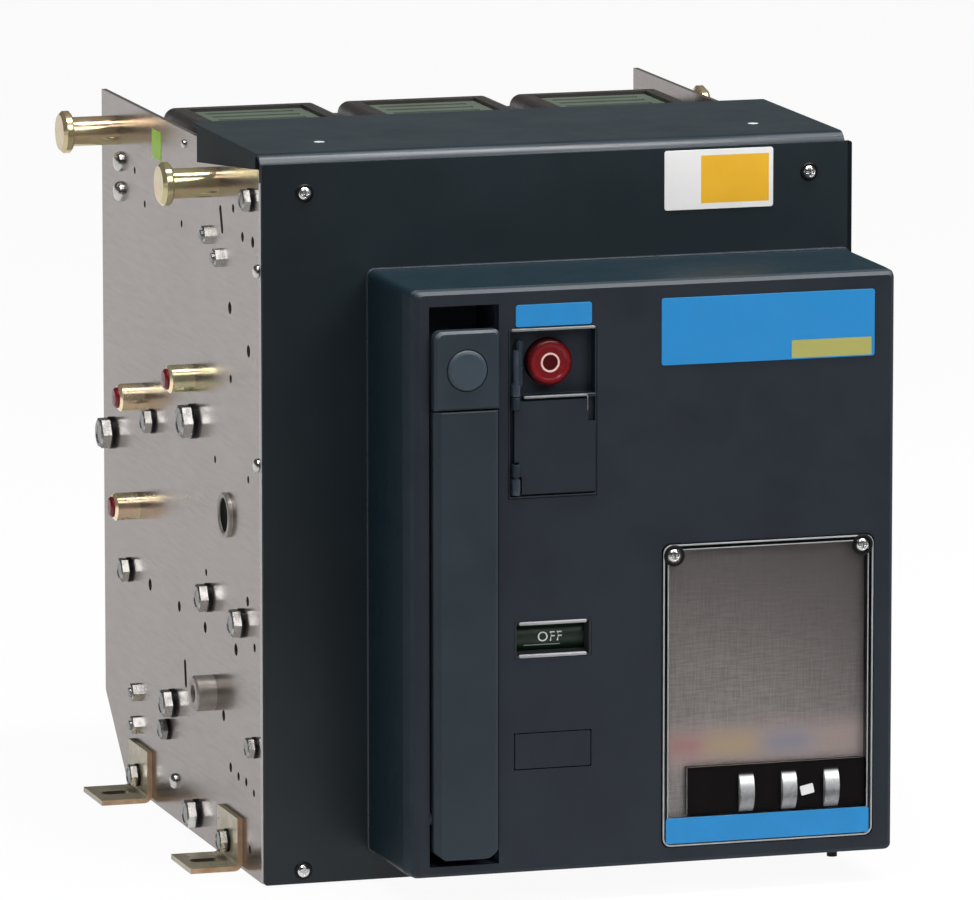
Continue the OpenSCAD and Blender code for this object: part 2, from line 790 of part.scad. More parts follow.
module lifting_pin(side, y) {
    r = pin_d / 2;
    h = pin_head_d / 2;
    neck = pin_l - pin_head_t;
    color("tan") placed() on_side(side) turned_out(y, pin_z)
        polygon([[0, 0], [r, 0], [r, neck - 1], [h - 1, neck], [h, neck + 1], [h, pin_l - 2.2],
                 [h - 2.2, pin_l], [0, pin_l]]);
}

module side_locators(side) {
    r = locator_d / 2;
    color("#b39b5e") placed() on_side(side) for (p = locators) turned_out(depth_at(p[0]), height_at(p[1]))
        polygon([[0, 0], [r, 0], [r, locator_l - 1.5], [r - 1.5, locator_l], [0, locator_l]]);
}

module locator_tips(side) {
    r = locator_d / 2 - 2;
    l = locator_l;
    color("#8f1420") placed() on_side(side) for (p = locators) turned_out(depth_at(p[0]), height_at(p[1]))
        polygon([[0, l], [r, l], [r, l + 1], [r - 1.4, l + 2.4], [0, l + 2.8]]);
}

module side_bushes(side) {
    ring = ring_d / 2;
    tube = tube_d / 2;
    color("lightgrey") placed() on_side(side) {
        turned_out(depth_at(ring_bush[0]), height_at(ring_bush[1]))
            polygon([[0, 0], [ring, 0], [ring, 2.2], [ring - 0.6, 2.8], [ring - 2.2, 2.8], [ring - 2.8, 2.2],
                     [ring - 2.8, 0.5], [0, 0.5]]);
        turned_out(depth_at(tube_bush[0]), height_at(tube_bush[1]))
            polygon([[0, 0], [tube, 0], [tube, tube_l - 1], [tube - 1, tube_l], [tube / 2, tube_l],
                     [tube / 2, 4], [0, 4]]);
    }
}

module arc_chute(x) {
    w = chute_w / 2;
    r = 7;
    ledge = 5;
    in = w - chute_wall;
    vent_z = chute_top - vent_sink - 3;
    y0 = chute_front + 12;
    y1 = chute_rear - chute_end;
    color("#2a2826") placed() translate([x, 0, 0]) difference() {
        along_y(chute_front, chute_rear) {
            rect(-w, w, chute_seat, chute_top - r);
            rect(-w + r, w - r, chute_seat, chute_top);
            for (s = [-1, 1]) translate([s * (w - r), chute_top - r]) circle(r);
        }
        box([-in, y0, vent_z], [in, y1, chute_top + 1]);
        box([-in + ledge, y0 + ledge, chute_top - chute_mouth], [in - ledge, y1 - ledge, chute_top]);
    }
}

module arc_vents() {
    w = chute_w / 2 - chute_wall - seat_gap;
    y0 = chute_front + 12 + seat_gap;
    y1 = chute_rear - chute_end - seat_gap;
    z1 = chute_top - vent_sink;
    slot_w = 5;
    margin = 10;
    pitch = (y1 - y0 - 2 * margin) / (vent_slots - 1);
    color("#5c6b5e") placed() for (x = [-pole_pitch, 0, pole_pitch]) translate([x, 0, 0]) difference() {
        box([-w, y0, z1 - 3], [w, y1, z1]);
        for (i = [0 : vent_slots - 1]) {
            y = y0 + margin + i * pitch;
            box([-w + 8, y - slot_w / 2, z1 - 4], [w - 8, y + slot_w / 2, z1 + 1]);
        }
    }
}

// A raised collar on a pole's rear face, round the terminal at height z
module terminal_collar(x, z) {
    w = terminal_w / 2 + 1;
    h = terminal_t / 2 + 1;
    rim = 6;
    along_y(pole_rear - eps, pole_rear + 6) difference() {
        rect(x - w - rim, x + w + rim, z - h - rim, z + h + rim);
        rect(x - w, x + w, z - h, z + h);
    }
}

// One pole between the planes x0 and x1, with its terminals in the middle at x
module pole(x0, x1, x) {
    shoulder = chute_rear + 6;
    barrier = [4, 8];
    rib = [5, 4];
    rib_pitch = 18;
    rib_gap = 34;
    color("#211f1e") placed() {
        along_x(x0, x1) polygon([
            [pole_front, pole_low], [pole_rear - 26, pole_low], [pole_rear, pole_low + 25],
            [pole_rear, pole_top], [shoulder, pole_top], [shoulder, chute_seat], [pole_front, chute_seat]
        ]);
        for (edge = [x0, x1 - barrier[0]])
            box([edge, pole_rear - eps, pole_low + 30], [edge + barrier[0], pole_rear + barrier[1], pole_top]);
        for (z = [terminal_low, terminal_high]) terminal_collar(x, z);
        for (i = [-1 : 1])
            box([x + i * rib_pitch - rib[0] / 2, pole_rear - eps, terminal_low + rib_gap],
                [x + i * rib_pitch + rib[0] / 2, pole_rear + rib[1], terminal_high - rib_gap]);
    }
}

module terminals(z) {
    w = terminal_w / 2;
    c = 6;
    hole_y = rear_y - 20;
    color("#b9b4aa") placed() for (x = [-pole_pitch, 0, pole_pitch]) translate([x, 0, z - terminal_t / 2])
        difference() {
            linear_extrude(terminal_t) polygon([[-w, pole_rear], [w, pole_rear], [w, rear_y - c],
                                                [w - c, rear_y], [-w + c, rear_y], [-w, rear_y - c]]);
            for (s = [-1, 1]) translate([s * terminal_hole_pitch / 2, hole_y, -1])
                cylinder(h = terminal_t + 2, d = terminal_hole_d);
        }
}

module tie_bars() {
    color("silver") placed() for (p = tie_bars_at)
        rod_along_x(-half_in, half_in, depth_at(p[0]), height_at(p[1]), bar_d);
}

side_plate(-1);  // left_side_plate
side_plate(1);  // right_side_plate
foot(-1, foot_front);  // left_front_foot
foot(-1, foot_rear);  // left_rear_foot
foot(1, foot_front);  // right_front_foot
foot(1, foot_rear);  // right_rear_foot
front_panel();
top_cover();
facia();
handle_trough();
handle_lever();
handle_head();
handle_disc();
trip_insert();
trip_button();
padlock_flap();
flap_hinge();
indicator_frame();
indicator_drum();
blank_plug();
release_housing();
release_plate();
dial_block();
setting_dials();
release_cover();
lifting_pin(-1, pin_rear);  // left_rear_pin
lifting_pin(-1, pin_front);  // left_front_pin
lifting_pin(1, pin_rear);  // right_rear_pin
lifting_pin(1, pin_front);  // right_front_pin
side_locators(-1);  // left_locators
side_locators(1);  // right_locators
locator_tips(-1);  // left_locator_tips
locator_tips(1);  // right_locator_tips
side_bushes(-1);  // left_bushes
side_bushes(1);  // right_bushes
arc_chute(-pole_pitch);  // left_arc_chute
arc_chute(0);  // middle_arc_chute
arc_chute(pole_pitch);  // right_arc_chute
arc_vents();
pole(-half_in, -pole_split - seat_gap, -pole_pitch);  // left_pole
pole(-pole_split, pole_split, 0);  // middle_pole
pole(pole_split + seat_gap, half_in, pole_pitch);  // right_pole
terminals(terminal_high);  // upper_terminals
terminals(terminal_low);  // lower_terminals
tie_bars();
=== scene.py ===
"""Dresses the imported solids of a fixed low-voltage air circuit breaker.

Every solid gets its finish here, and the fasteners, plates, rings and words that the solids leave out
are added as surfaces worked out with numpy. Lengths are metres in the solids' own frame: X to the
right, the front towards -Y, Z up. Measured places are written in millimetres and multiplied by MM.
"""

import math

import bmesh
import bpy
import numpy as np
from bpy.props import FloatProperty, FloatVectorProperty, PointerProperty
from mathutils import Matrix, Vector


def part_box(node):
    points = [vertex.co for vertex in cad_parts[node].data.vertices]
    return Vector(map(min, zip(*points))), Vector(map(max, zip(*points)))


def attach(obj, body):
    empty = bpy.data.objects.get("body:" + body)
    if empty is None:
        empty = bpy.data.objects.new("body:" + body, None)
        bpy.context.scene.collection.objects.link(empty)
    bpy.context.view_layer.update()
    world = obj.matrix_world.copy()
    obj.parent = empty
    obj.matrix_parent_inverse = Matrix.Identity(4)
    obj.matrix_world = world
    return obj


bl_info = {
    "name": "Air circuit breaker dresser",
    "version": (1, 0, 0),
    "blender": (4, 5, 0),
    "location": "View3D > Sidebar > Breaker",
    "description": "Finishes a fixed low-voltage air circuit breaker and adds its fasteners and plates",
    "category": "Object",
}

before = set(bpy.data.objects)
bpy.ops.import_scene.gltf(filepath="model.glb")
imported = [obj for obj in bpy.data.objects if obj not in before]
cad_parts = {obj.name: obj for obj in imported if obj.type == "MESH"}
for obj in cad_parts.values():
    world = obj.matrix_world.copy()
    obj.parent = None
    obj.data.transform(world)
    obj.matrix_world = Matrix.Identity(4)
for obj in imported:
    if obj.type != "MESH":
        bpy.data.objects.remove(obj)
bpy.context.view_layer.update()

MM = 0.001
SIDES = ("left", "right")
OUTWARD = {"left": -1, "right": 1}

# Planes that pieces sit on, read from the frame
PANEL_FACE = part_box("front_panel")[0][1]
FACIA_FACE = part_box("facia")[0][1]
COVER_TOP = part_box("top_cover")[1][2]
PLATE_FACE = {"left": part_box("left_rear_pin")[1][0], "right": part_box("right_rear_pin")[0][0]}
CLEAR_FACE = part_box("release_cover")[0][1]
POLE_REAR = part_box("upper_terminals")[0][1]
FOOT_SHEET = 3 * MM

# World directions of a fastener's two cross axes and of its outward axis, one row each
FACING = {
    "left": [[0, 0, 1], [0, 1, 0], [-1, 0, 0]],
    "right": [[0, 1, 0], [0, 0, 1], [1, 0, 0]],
    "front": [[1, 0, 0], [0, 0, 1], [0, -1, 0]],
    "back": [[0, 0, 1], [1, 0, 0], [0, 1, 0]],
    "up": [[1, 0, 0], [0, 1, 0], [0, 0, 1]],
}

# Fasteners on a side plate: depth behind the panel's face, height and width across, millimetres
SIDE_BOLTS = [
    (246, 232, 13), (152, 247, 18), (340, 210, 17), (301, 133, 13), (120, 148, 15), (47, 146, 15),
    (202, 70, 15), (214, 52, 11), (149, 14, 15), (20, 78, 11), (24, 395, 12),
]
FOOT_BOLTS = [(70, 14, 12), (273, 13, 12)]
SIDE_NUTS = [(285, 61, 10), (285, 41, 10), (116, 362, 10), (92, 352, 10)]
SIDE_SCREWS = [
    (197, 24, 9), (9, 356, 8), (10, 244, 8), (315, 378, 12), (315, 360, 12), (169, 408, 5),
]
# Depth of a ring bush's axis and its drop from the bushes' top, and depth and height of a tube's bore
RING_DEPTH, RING_DROP = 78, 13
TUBE_BORE = (111.9, 93.1)
# X and height of the screws in the front panel and the clear cover, X and depth of the cover's rivets
PANEL_SCREWS = [(-144, 401), (158, 401), (-146, 8.5), (172, 8.5)]
CLEAR_SCREWS = [(49.4, 196.8), (162.4, 197.4)]
COVER_RIVETS = [(-121, 50), (141, 52)]
# Lower left and upper right corner of each plate, X and height
RATING_PLATE = [(41.7, 306.5), (169, 345)]
NOTICE_PLATE = [(70.4, 382), (136, 416.5)]
TRIP_PLATE = [(-44.6, 332.4), (0.3, 345)]
RELEASE_STRIP = [(44.8, 29.6), (167, 44.4)]
# Depth and height of the sticker's middle, and X of the peg, the pocket's blade and the dial's mark
STICKER = (232, 399)
PEG_X, BLADE_X, MARK_X = 150, -41.3, 130.6
MARK_TILT = math.radians(12)

# Grain of printed film: noise scale, depth in millimetres and strength
FILM_GRAIN = (2400.0, 0.01, 0.15)
# Painted highlight for the roundings between an upper and a front face
PAINTED_EDGE_HIGHLIGHT = (0.085, 0.094, 0.104)
# Painted shade with a teal tint, for faces that look up or sideways
FLANK_SHADE_TEAL = (0.0065, 0.0185, 0.027)
# Faded fields behind the clear cover: colour, then start and end as shares of the plate's width
RELEASE_FIELDS = [
    ((0.56, 0.19, 0.2), 0.0, 0.2), ((0.65, 0.46, 0.2), 0.2, 0.46), ((0.28, 0.31, 0.46), 0.5, 0.74),
]

# Height of a capital letter as a share of the font's size
CAPITAL_SHARE = 0.73

# Place, aim and size of each lamp, metres
LAMPS = {
    "key": ((1.4, -2.7, 2.2), (0.0, 0.0, 0.2), (1.6, 1.6)),
    "fill": ((-0.86, -1.9, 2.4), (0.0, 0.0, 0.2), (0.8, 0.8)),
    "strip": ((0.3, -0.45, 2.3), (0.3, -0.2, 0.2), (2.4, 0.45)),
}
FLOOR_HALF = 9.0
CAMERA_AIM = np.array([6 * MM, PANEL_FACE + 100 * MM, 210 * MM])
SENSOR_WIDTH = 36.0
# The photograph's size and the point in it that the camera's axis meets, pixels
PICTURE_WIDTH = 974
PICTURE_HEIGHT = 900
AXIS_POINT = (506.2, 483.2)


def colour_setting(name, description, default):
    """A colour in a group of settings."""
    return FloatVectorProperty(name=name, description=description, subtype="COLOR", default=default)


def number_setting(name, description, default, **kind):
    """A number in a group of settings, with its unit or subtype where it has one."""
    return FloatProperty(name=name, description=description, default=default, **kind)


class BreakerColours(bpy.types.PropertyGroup):
    """Base colours of the breaker's finishes."""

    shroud: colour_setting("Shroud", "Powder coat of panel and top cover", (0.0127, 0.0205, 0.026))
    facia: colour_setting("Facia", "Moulded facia", (0.0149, 0.0199, 0.028))
    handle: colour_setting("Handle", "Handle and its head", (0.0202, 0.029, 0.0377))
    plate: colour_setting("Side plates", "Plated steel sheet", (0.246, 0.211, 0.194))
    zinc: colour_setting("Pins", "Yellow zinc on the pins", (0.6, 0.51, 0.31))
    foot: colour_setting("Feet", "Yellow zinc on the feet", (0.42, 0.37, 0.26))
    blue: colour_setting("Plates' blue", "Rating plate and strips", (0.016, 0.196, 0.46))
    red: colour_setting("Trip red", "Trip button", (0.15, 0.005, 0.008))
    green: colour_setting("Flag green", "Indicator drum", (0.006, 0.02, 0.009))


class BreakerFasteners(bpy.types.PropertyGroup):
    """Proportions of the fasteners."""

    head_height: number_setting("Head height", "Height of a hex head, as a share of its width", 0.36)
    washer_width: number_setting("Washer width", "Width of a washer, as a share of the head's", 1.14)
    washer_height: number_setting("Washer height", "Thickness, as a share of the head's width", 0.15)
    panel_screw: number_setting("Panel screw", "Head diameter of a panel screw", 7.2 * MM, unit="LENGTH")


class BreakerPlates(bpy.types.PropertyGroup):
    """Sizes of the thin plates."""

    thickness: number_setting("Thickness", "Thickness of a plate", 0.5 * MM, unit="LENGTH")
    corner: number_setting("Corner radius", "Radius of a plate's corners", 1.5 * MM, unit="LENGTH")
    letter_height: number_setting("Letter height", "Height of the drum's word", 5.8 * MM, unit="LENGTH")


class BreakerStage(bpy.types.PropertyGroup):
    """Camera and light."""

    azimuth: number_setting(
        "Azimuth", "Camera's bearing from the front", math.radians(-16.89), subtype="ANGLE")
    elevation: number_setting("Elevation", "Camera's height angle", math.radians(9.84), subtype="ANGLE")
    distance: number_setting("Distance", "Camera's distance from the aim", 5.799, unit="LENGTH")
    lens: number_setting("Lens", "Focal length in millimetres", 366.8)
    key_power: number_setting("Key", "Power of the key light", 54.0, unit="POWER")
    fill_power: number_setting("Fill", "Power of the fill light", 14.0, unit="POWER")
    strip_power: number_setting("Strip", "Power of the strip light overhead", 62.0, unit="POWER")
    ambient: number_setting("Ambient", "Strength of the world's light on matt surfaces", 0.26)


def shade(colour, factor):
    """A colour made darker or lighter."""
    return tuple(min(1.0, part * factor) for part in colour)


def opaque(colour):
    """A colour with full alpha, or a socket as it is."""
    return colour if isinstance(colour, bpy.types.NodeSocket) else (*colour, 1.0)


class Nodes:
    """A node tree being filled in, and the coordinates that its patterns follow."""

    def __init__(self, tree, space):
        self.tree = tree
        self.place = self.node("ShaderNodeTexCoord").outputs[space]

    def join(self, socket, value):
        """Sets a socket to a value, or links it to another socket."""
        if isinstance(value, bpy.types.NodeSocket):
            self.tree.links.new(value, socket)
        else:
            socket.default_value = value

    def node(self, kind, inputs=None, **settings):
        """Adds a node with its settings and inputs, and returns it."""
        made = self.tree.nodes.new(kind)
        for name, value in settings.items():
            setattr(made, name, value)
        for name, value in (inputs or {}).items():
            self.join(made.inputs[name], value)
        return made

    def maths(self, operation, first, second=0.0):
        """The result of a sum, a product or the like."""
        return self.node("ShaderNodeMath", {0: first, 1: second}, operation=operation).outputs[0]

    def distance(self, first, second):
        """The distance between two places."""
        inputs = {0: first, 1: second}
        return self.node("ShaderNodeVectorMath", inputs, operation="DISTANCE").outputs["Value"]

    def noise(self, scale, detail=4.0, stretch=None):
        """Cloudy noise from 0 to 1, its features 1 / scale metres wide, less along a stretched axis."""
        place = self.place
        if stretch:
            place = self.node("ShaderNodeMapping", {"Vector": place, "Scale": stretch}).outputs[0]
        inputs = {"Vector": place, "Scale": scale, "Detail": detail, "Roughness": 0.55}
        return self.node("ShaderNodeTexNoise", inputs).outputs["Fac"]

    def span(self, value, low, high, start=0.3, end=0.7):
        """Stretches a value from one range to another, held at both ends."""
        inputs = {"Value": value, "From Min": start, "From Max": end, "To Min": low, "To Max": high}
        return self.node("ShaderNodeMapRange", inputs).outputs["Result"]

    def mix(self, factor, first, second):
        """Mixes two numbers."""
        return self.node("ShaderNodeMix", {"Factor": factor, "A": first, "B": second}).outputs["Result"]

    def blend(self, factor, first, second):
        """Mixes two colours."""
        made = self.node("ShaderNodeMix", data_type="RGBA")
        for socket, value in (("Factor", factor), (6, opaque(first)), (7, opaque(second))):
            self.join(made.inputs[socket], value)
        return made.outputs[2]

    def cloud(self, colour, dark, light, scale, detail=4.0):
        """A cloudy mixture of a colour made darker and the same made lighter."""
        factor = self.span(self.noise(scale, detail), 0.0, 1.0)
        return self.blend(factor, shade(colour, dark), shade(colour, light))

    def axis(self, name):
        """One of the coordinates, X, Y or Z."""
        return self.node("ShaderNodeSeparateXYZ", {"Vector": self.place}).outputs[name]

    def along(self, name, low, high, start, end):
        """Runs from one value to another along a coordinate, held at both ends."""
        return self.span(self.axis(name), low, high, start, end)

    def within(self, name, low, high, soft):
        """1 between two values of a coordinate and 0 outside, with soft ends."""
        rise = self.along(name, 0.0, 1.0, low - soft, low + soft)
        return self.maths("MULTIPLY", rise, self.along(name, 1.0, 0.0, high - soft, high + soft))

    def rays(self):
        """Two sockets: 1 for camera rays, and 1 for glossy and transmission rays."""
        path = self.node("ShaderNodeLightPath").outputs
        mirror = self.maths("MAXIMUM", path["Is Glossy Ray"], path["Is Transmission Ray"])
        return path["Is Camera Ray"], mirror


class Finish(Nodes):
    """A material being made: its shader, with patterns in Object coordinates."""

    def __init__(self, name, colour, roughness, metallic=0.0, specular=0.5):
        self.material = bpy.data.materials.new(name)
        self.material.use_nodes = True
        super().__init__(self.material.node_tree, "Object")
        self.shader = self.tree.nodes["Principled BSDF"]
        self.base(colour)
        self.put("Roughness", roughness)
        self.put("Metallic", metallic)
        self.put("Specular IOR Level", specular)

    def put(self, socket, value):
        """Sets a shader socket to a value, or links it to another socket."""
        self.join(self.shader.inputs[socket], value)

    def facing(self, name):
        """How far the surface faces along one of the object's axes, from -1 to 1."""
        direction = self.node("ShaderNodeTexCoord").outputs["Normal"]
        return self.node("ShaderNodeSeparateXYZ", {"Vector": direction}).outputs[name]

    def aligned(self, name):
        """1 on faces that look either way along an axis, 0 on the others."""
        return self.span(self.maths("ABSOLUTE", self.facing(name)), 0.0, 1.0, 0.5, 0.9)

    def field(self, across, up):
        """1 inside a printed rectangle, given by its ends in X and in Z, and 0 outside."""
        soft = 0.15 * MM
        return self.maths("MULTIPLY", self.within("X", *across, soft), self.within("Z", *up, soft))

    def base(self, colour):
        """Gives the whole surface a colour or a pattern."""
        self.coat = colour
        self.put("Base Color", opaque(colour))

    def over(self, mask, colour):
        """Lays a colour over the ones before it, as far as a mask says."""
        self.base(self.blend(mask, self.coat, colour))

    def done(self, gloss, grain):
        """Varies the roughness, raises a fine grain and returns the material.

        The gloss is two roughnesses, a noise scale and a stretch. The grain is a noise scale, a depth
        in millimetres, a strength and a stretch.
        """
        low, high, scale, *stretch = gloss
        self.put("Roughness", self.span(self.noise(scale, 5.0, *stretch), low, high))
        self.grain(*grain)
        return self.material

    def grain(self, scale, depth, strength, stretch=None):
        """Raises a fine grain, its depth in millimetres."""
        height = self.noise(scale, 3.0, stretch)
        inputs = {"Height": height, "Distance": depth * MM, "Strength": strength}
        self.put("Normal", self.node("ShaderNodeBump", inputs).outputs["Normal"])


def paint_finish(name, colour, rivets=(), bend=None, end=None):
    """Satin powder coat: slight clouds and orange peel, with flush bright rivet heads at some places.

    A bend, from its front to its rear Y, gets a painted highlight in pale streaks along X. From the X
    of its end on, where the sheet turns away, it is darker with painted shade, and painted shade
    deepens towards the other end. Faces that look sideways are dull and darker with painted shade.
    """
    made = Finish(name, colour, 0.3, specular=0.35)
    made.base(made.cloud(colour, 0.88, 1.14, 14.0))
    # Painted highlight: pale streaks along the bend stand in for a lamp's glint there.
    if bend:
        highlight_streak = made.span(made.noise(420.0, 3.0, (0.012, 1, 1)), 0.1, 1.0, 0.36, 0.62)
        strip = made.within("Y", *bend, 0.8 * MM)
        made.over(made.maths("MULTIPLY", highlight_streak, strip), (0.1, 0.112, 0.128))
    # Painted shade: darker where the sheet turns away at its end, and darker towards the other end.
    if end:
        made.over(made.along("X", 0.0, 1.0, end, end + 0.6 * MM), shade(colour, 0.25))
        made.over(made.along("X", 0.5, 0.0, -0.15, -0.06), shade(colour, 0.3))
    for place in rivets:
        reach = made.distance(made.place, place)
        made.over(made.span(reach, 1.0, 0.0, 2.9 * MM, 3.2 * MM), (0.62, 0.64, 0.66))
    # Painted shade: faces that look sideways are darker; their roughness is raised too.
    sideways = made.aligned("X")
    made.over(sideways, shade(colour, 0.8))
    satin = made.span(made.noise(30.0, 5.0), 0.3, 0.38)
    made.put("Roughness", made.mix(sideways, satin, 0.8))
    made.grain(500.0, 0.03, 0.1)
    return made.material


def moulding_finish(name, colour, roughness=0.5, depth=0.06, specular=0.2, edge=None, flank=None):
    """Moulded plastic: fine spark grain, faint flow clouds and uneven gloss.

    A flank colour, painted shade with a teal tint, goes on the faces that look up or sideways. An edge
    colour, a painted highlight, goes on the roundings between an upper and a front face.
    """
    made = Finish(name, colour, roughness, specular=specular)
    made.base(made.cloud(colour, 0.9, 1.12, 22.0, 5.0))
    # Painted shade: faces that look up or sideways take a darker teal colour.
    if flank:
        ahead = made.maths("ABSOLUTE", made.facing("Y"))
        made.over(made.span(ahead, 1.0, 0.0, 0.4, 0.9), flank)
    # Painted highlight: roundings between an upper and a front face are paler.
    if edge:
        tilt = made.maths("MULTIPLY", made.facing("Z"), made.facing("Y"))
        made.over(made.span(tilt, 1.0, 0.0, -0.42, -0.16), edge)
    return made.done((roughness - 0.07, roughness + 0.08, 60.0), (1900.0, depth, 0.5))


def sheet_steel_finish(name, colour):
    """Plated steel sheet: soft clouds, flecks and rolling lines along the depth.

    Painted shade darkens it towards the foot, and a painted highlight makes a pale dull strip along the
    panel.
    """
    made = Finish(name, colour, 0.2, metallic=0.8)
    made.base(made.cloud(colour, 0.92, 1.06, 9.0))
    made.over(made.span(made.noise(420.0, 2.0), 0.0, 0.5, 0.5, 0.75), shade(colour, 0.72))
    # Painted shade: darker and warmer towards the foot.
    made.over(made.along("Z", 0.6, 0.0, 0.02, 0.42), (0.155, 0.124, 0.112))
    # Painted highlight: a pale, less metallic strip along the plate's rounded front edge by the panel.
    front = made.along("Y", 1.0, 0.0, PANEL_FACE + 5 * MM, PANEL_FACE + 9 * MM)
    made.over(front, (0.5, 0.475, 0.465))
    made.put("Metallic", made.span(front, 0.8, 0.15, 0.0, 1.0))
    return made.done((0.17, 0.25, 40.0, (1, 1, 12)), (260.0, 0.02, 0.12, (1, 1, 14)))


def zinc_finish(name, colour, roughness):
    """Yellow passivated zinc: patches that drift from straw to rose and olive, and a fine grain."""
    made = Finish(name, colour, roughness, metallic=0.8)
    rose = (colour[0] * 1.08, colour[1] * 0.84, colour[2] * 0.9)
    olive = (colour[0] * 0.84, colour[1] * 0.96, colour[2] * 0.82)
    drift = made.blend(made.span(made.noise(55.0), 0.0, 1.0, 0.38, 0.62), rose, olive)
    patch = made.span(made.noise(120.0), 0.0, 1.0, 0.35, 0.65)
    made.base(made.blend(patch, colour, drift))
    return made.done((roughness - 0.06, roughness + 0.1, 140.0), (500.0, 0.02, 0.2))


def foot_finish(name, colour, slots):
    """Yellow zinc on cut sheet: olive on the broad faces, copper on the edges to the front and rear.

    The walls of the slots, given by the Y of their middles, are dark with painted shade.
    """
    made = Finish(name, colour, 0.34, metallic=0.5)
    broad = made.cloud(colour, 0.82, 1.15, 70.0)
    patch = made.span(made.noise(160.0), 0.0, 1.0)
    copper = made.blend(patch, (0.4, 0.24, 0.14), (0.56, 0.38, 0.23))
    # Painted shade on the slots' walls
    for middle in slots:
        wall = made.within("Y", middle - 8 * MM, middle + 8 * MM, MM)
        copper = made.blend(wall, copper, (0.03, 0.024, 0.014))
    made.base(made.blend(made.aligned("Y"), broad, copper))
    return made.done((0.26, 0.42, 120.0), (500.0, 0.03, 0.25))


def turned_steel_finish(name, colour, roughness=0.24, metallic=1.0, end=None):
    """Bright plated steel: fine marks, uneven gloss and painted shade, an end colour, on sideways faces.
    """
    made = Finish(name, colour, roughness, metallic=metallic)
    made.base(made.cloud(colour, 0.84, 1.08, 160.0))
    # Painted shade: faces that look sideways take the darker end colour.
    if end:
        made.over(made.aligned("X"), end)
    return made.done((roughness - 0.08, roughness + 0.12, 220.0), (900.0, 0.03, 0.3))


def gloss_finish(name, colour, roughness=0.22):
    """Glossy plastic or enamel with faint clouds."""
    made = Finish(name, colour, roughness, specular=0.45)
    made.base(made.cloud(colour, 0.85, 1.12, 90.0))
    return made.done((roughness - 0.05, roughness + 0.08, 150.0), (1200.0, 0.02, 0.2))


def button_finish(name, colour, middle):
    """Red enamel round an axis along Y: dark inside the ring, painted shade on the rim, faint clouds
    between.
    """
    made = Finish(name, colour, 0.24, specular=0.3)
    inputs = {0: made.place, 1: (1, 0, 1)}
    flat = made.node("ShaderNodeVectorMath", inputs, operation="MULTIPLY").outputs[0]
    reach = made.distance(flat, (middle[0], 0, middle[2]))
    made.base(shade(colour, 0.35))
    made.over(made.span(reach, 0.0, 1.0, 4.2 * MM, 4.8 * MM), made.cloud(colour, 0.85, 1.15, 90.0))
    # Painted shade on the button's rounded rim
    made.over(made.span(reach, 0.0, 1.0, 10.6 * MM, 12 * MM), shade(colour, 0.4))
    made.put("Roughness", made.span(made.noise(150.0, 5.0), 0.18, 0.3))
    return made.material


def print_finish(name, colour):
    """Printed film: an even colour with a faint screen and light scuffs."""
    made = Finish(name, colour, 0.38, specular=0.22)
    made.base(made.cloud(colour, 0.94, 1.05, 45.0, 6.0))
    return made.done((0.3, 0.46, 70.0), FILM_GRAIN)


def release_finish(name):
    """Brushed grey plate with painted shade towards its top and upper right, a pale haze and faded
    colour fields.
    """
    low, high, _ = extent("release_plate")
    width, _, rise = high - low
    grey = (0.345, 0.301, 0.289)
    made = Finish(name, grey, 0.42, metallic=0.2)
    warp = made.span(made.noise(1900.0, 2.0, (1, 1, 0.04)), 0.0, 1.0)
    weft = made.span(made.noise(1500.0, 2.0, (0.06, 1, 1)), 0.0, 1.0)
    thread = made.span(made.maths("ADD", warp, weft), 0.0, 1.0, 0.4, 1.6)
    made.base(made.blend(thread, shade(grey, 0.78), shade(grey, 1.2)))
    height = made.along("Z", 0.0, 1.0, low[2], high[2])
    corner = made.maths("ADD", height, made.along("X", 0.0, 1.0, low[0], high[0]))
    # Painted shade: darker towards the upper right and towards the top.
    made.over(made.span(corner, 0.0, 0.8, 0.9, 1.9), shade(grey, 0.42))
    made.over(made.span(height, 0.0, 0.64, 0.58, 0.92), shade(grey, 0.48))
    haze = made.within("Z", low[2] + 0.24 * rise, low[2] + 0.38 * rise, 7 * MM)
    made.over(made.maths("MULTIPLY", haze, 0.75), (0.57, 0.44, 0.395))
    band = made.within("Z", low[2] + 0.28 * rise, low[2] + 0.35 * rise, 6 * MM)
    for colour, start, end in RELEASE_FIELDS:
        across = made.within("X", low[0] + start * width, low[0] + end * width, 7 * MM)
        field = made.maths("MULTIPLY", band, across)
        made.over(made.maths("MULTIPLY", field, 0.6), colour)
    stretch = (1, 1, 0.05)
    return made.done((0.36, 0.5, 300.0, stretch), (700.0, 0.02, 0.2, stretch))


def dial_finish(name):
    """Satin thumbwheels: painted dark reflection at the top, painted highlight under it, grey below,
    fine ribs.
    """
    low, high, _ = extent("setting_dials")
    made = Finish(name, (0.6, 0.61, 0.62), 0.34, metallic=0.3, specular=0.15)
    height = made.along("Z", 0.0, 1.0, low[2], high[2])
    patch = made.span(made.noise(260.0), 0.0, 1.0)
    dark = made.blend(patch, (0.1, 0.105, 0.105), (0.24, 0.245, 0.25))
    made.base((0.3, 0.3, 0.31))
    # Painted light in bands up the wheel: a painted dark reflection at the top, a painted highlight
    # under it.
    for start, end, colour in ((0.08, 0.35, dark), (0.42, 0.8, (0.62, 0.63, 0.64)),
                               (0.88, 0.97, (0.012, 0.011, 0.011))):
        made.over(made.span(height, 0.0, 1.0, start, end), colour)
    return made.done((0.24, 0.36, 200.0), (1400.0, 0.03, 0.3, (0.1, 1, 1)))


def clear_finish(name):
    """Clear sheet with a faint ripple."""
    made = Finish(name, (0.97, 0.975, 0.98), 0.04, specular=0.2)
    made.put("Transmission Weight", 1.0)
    made.put("IOR", 1.3)
    return made.done((0.02, 0.07, 40.0), (60.0, 0.05, 0.15))


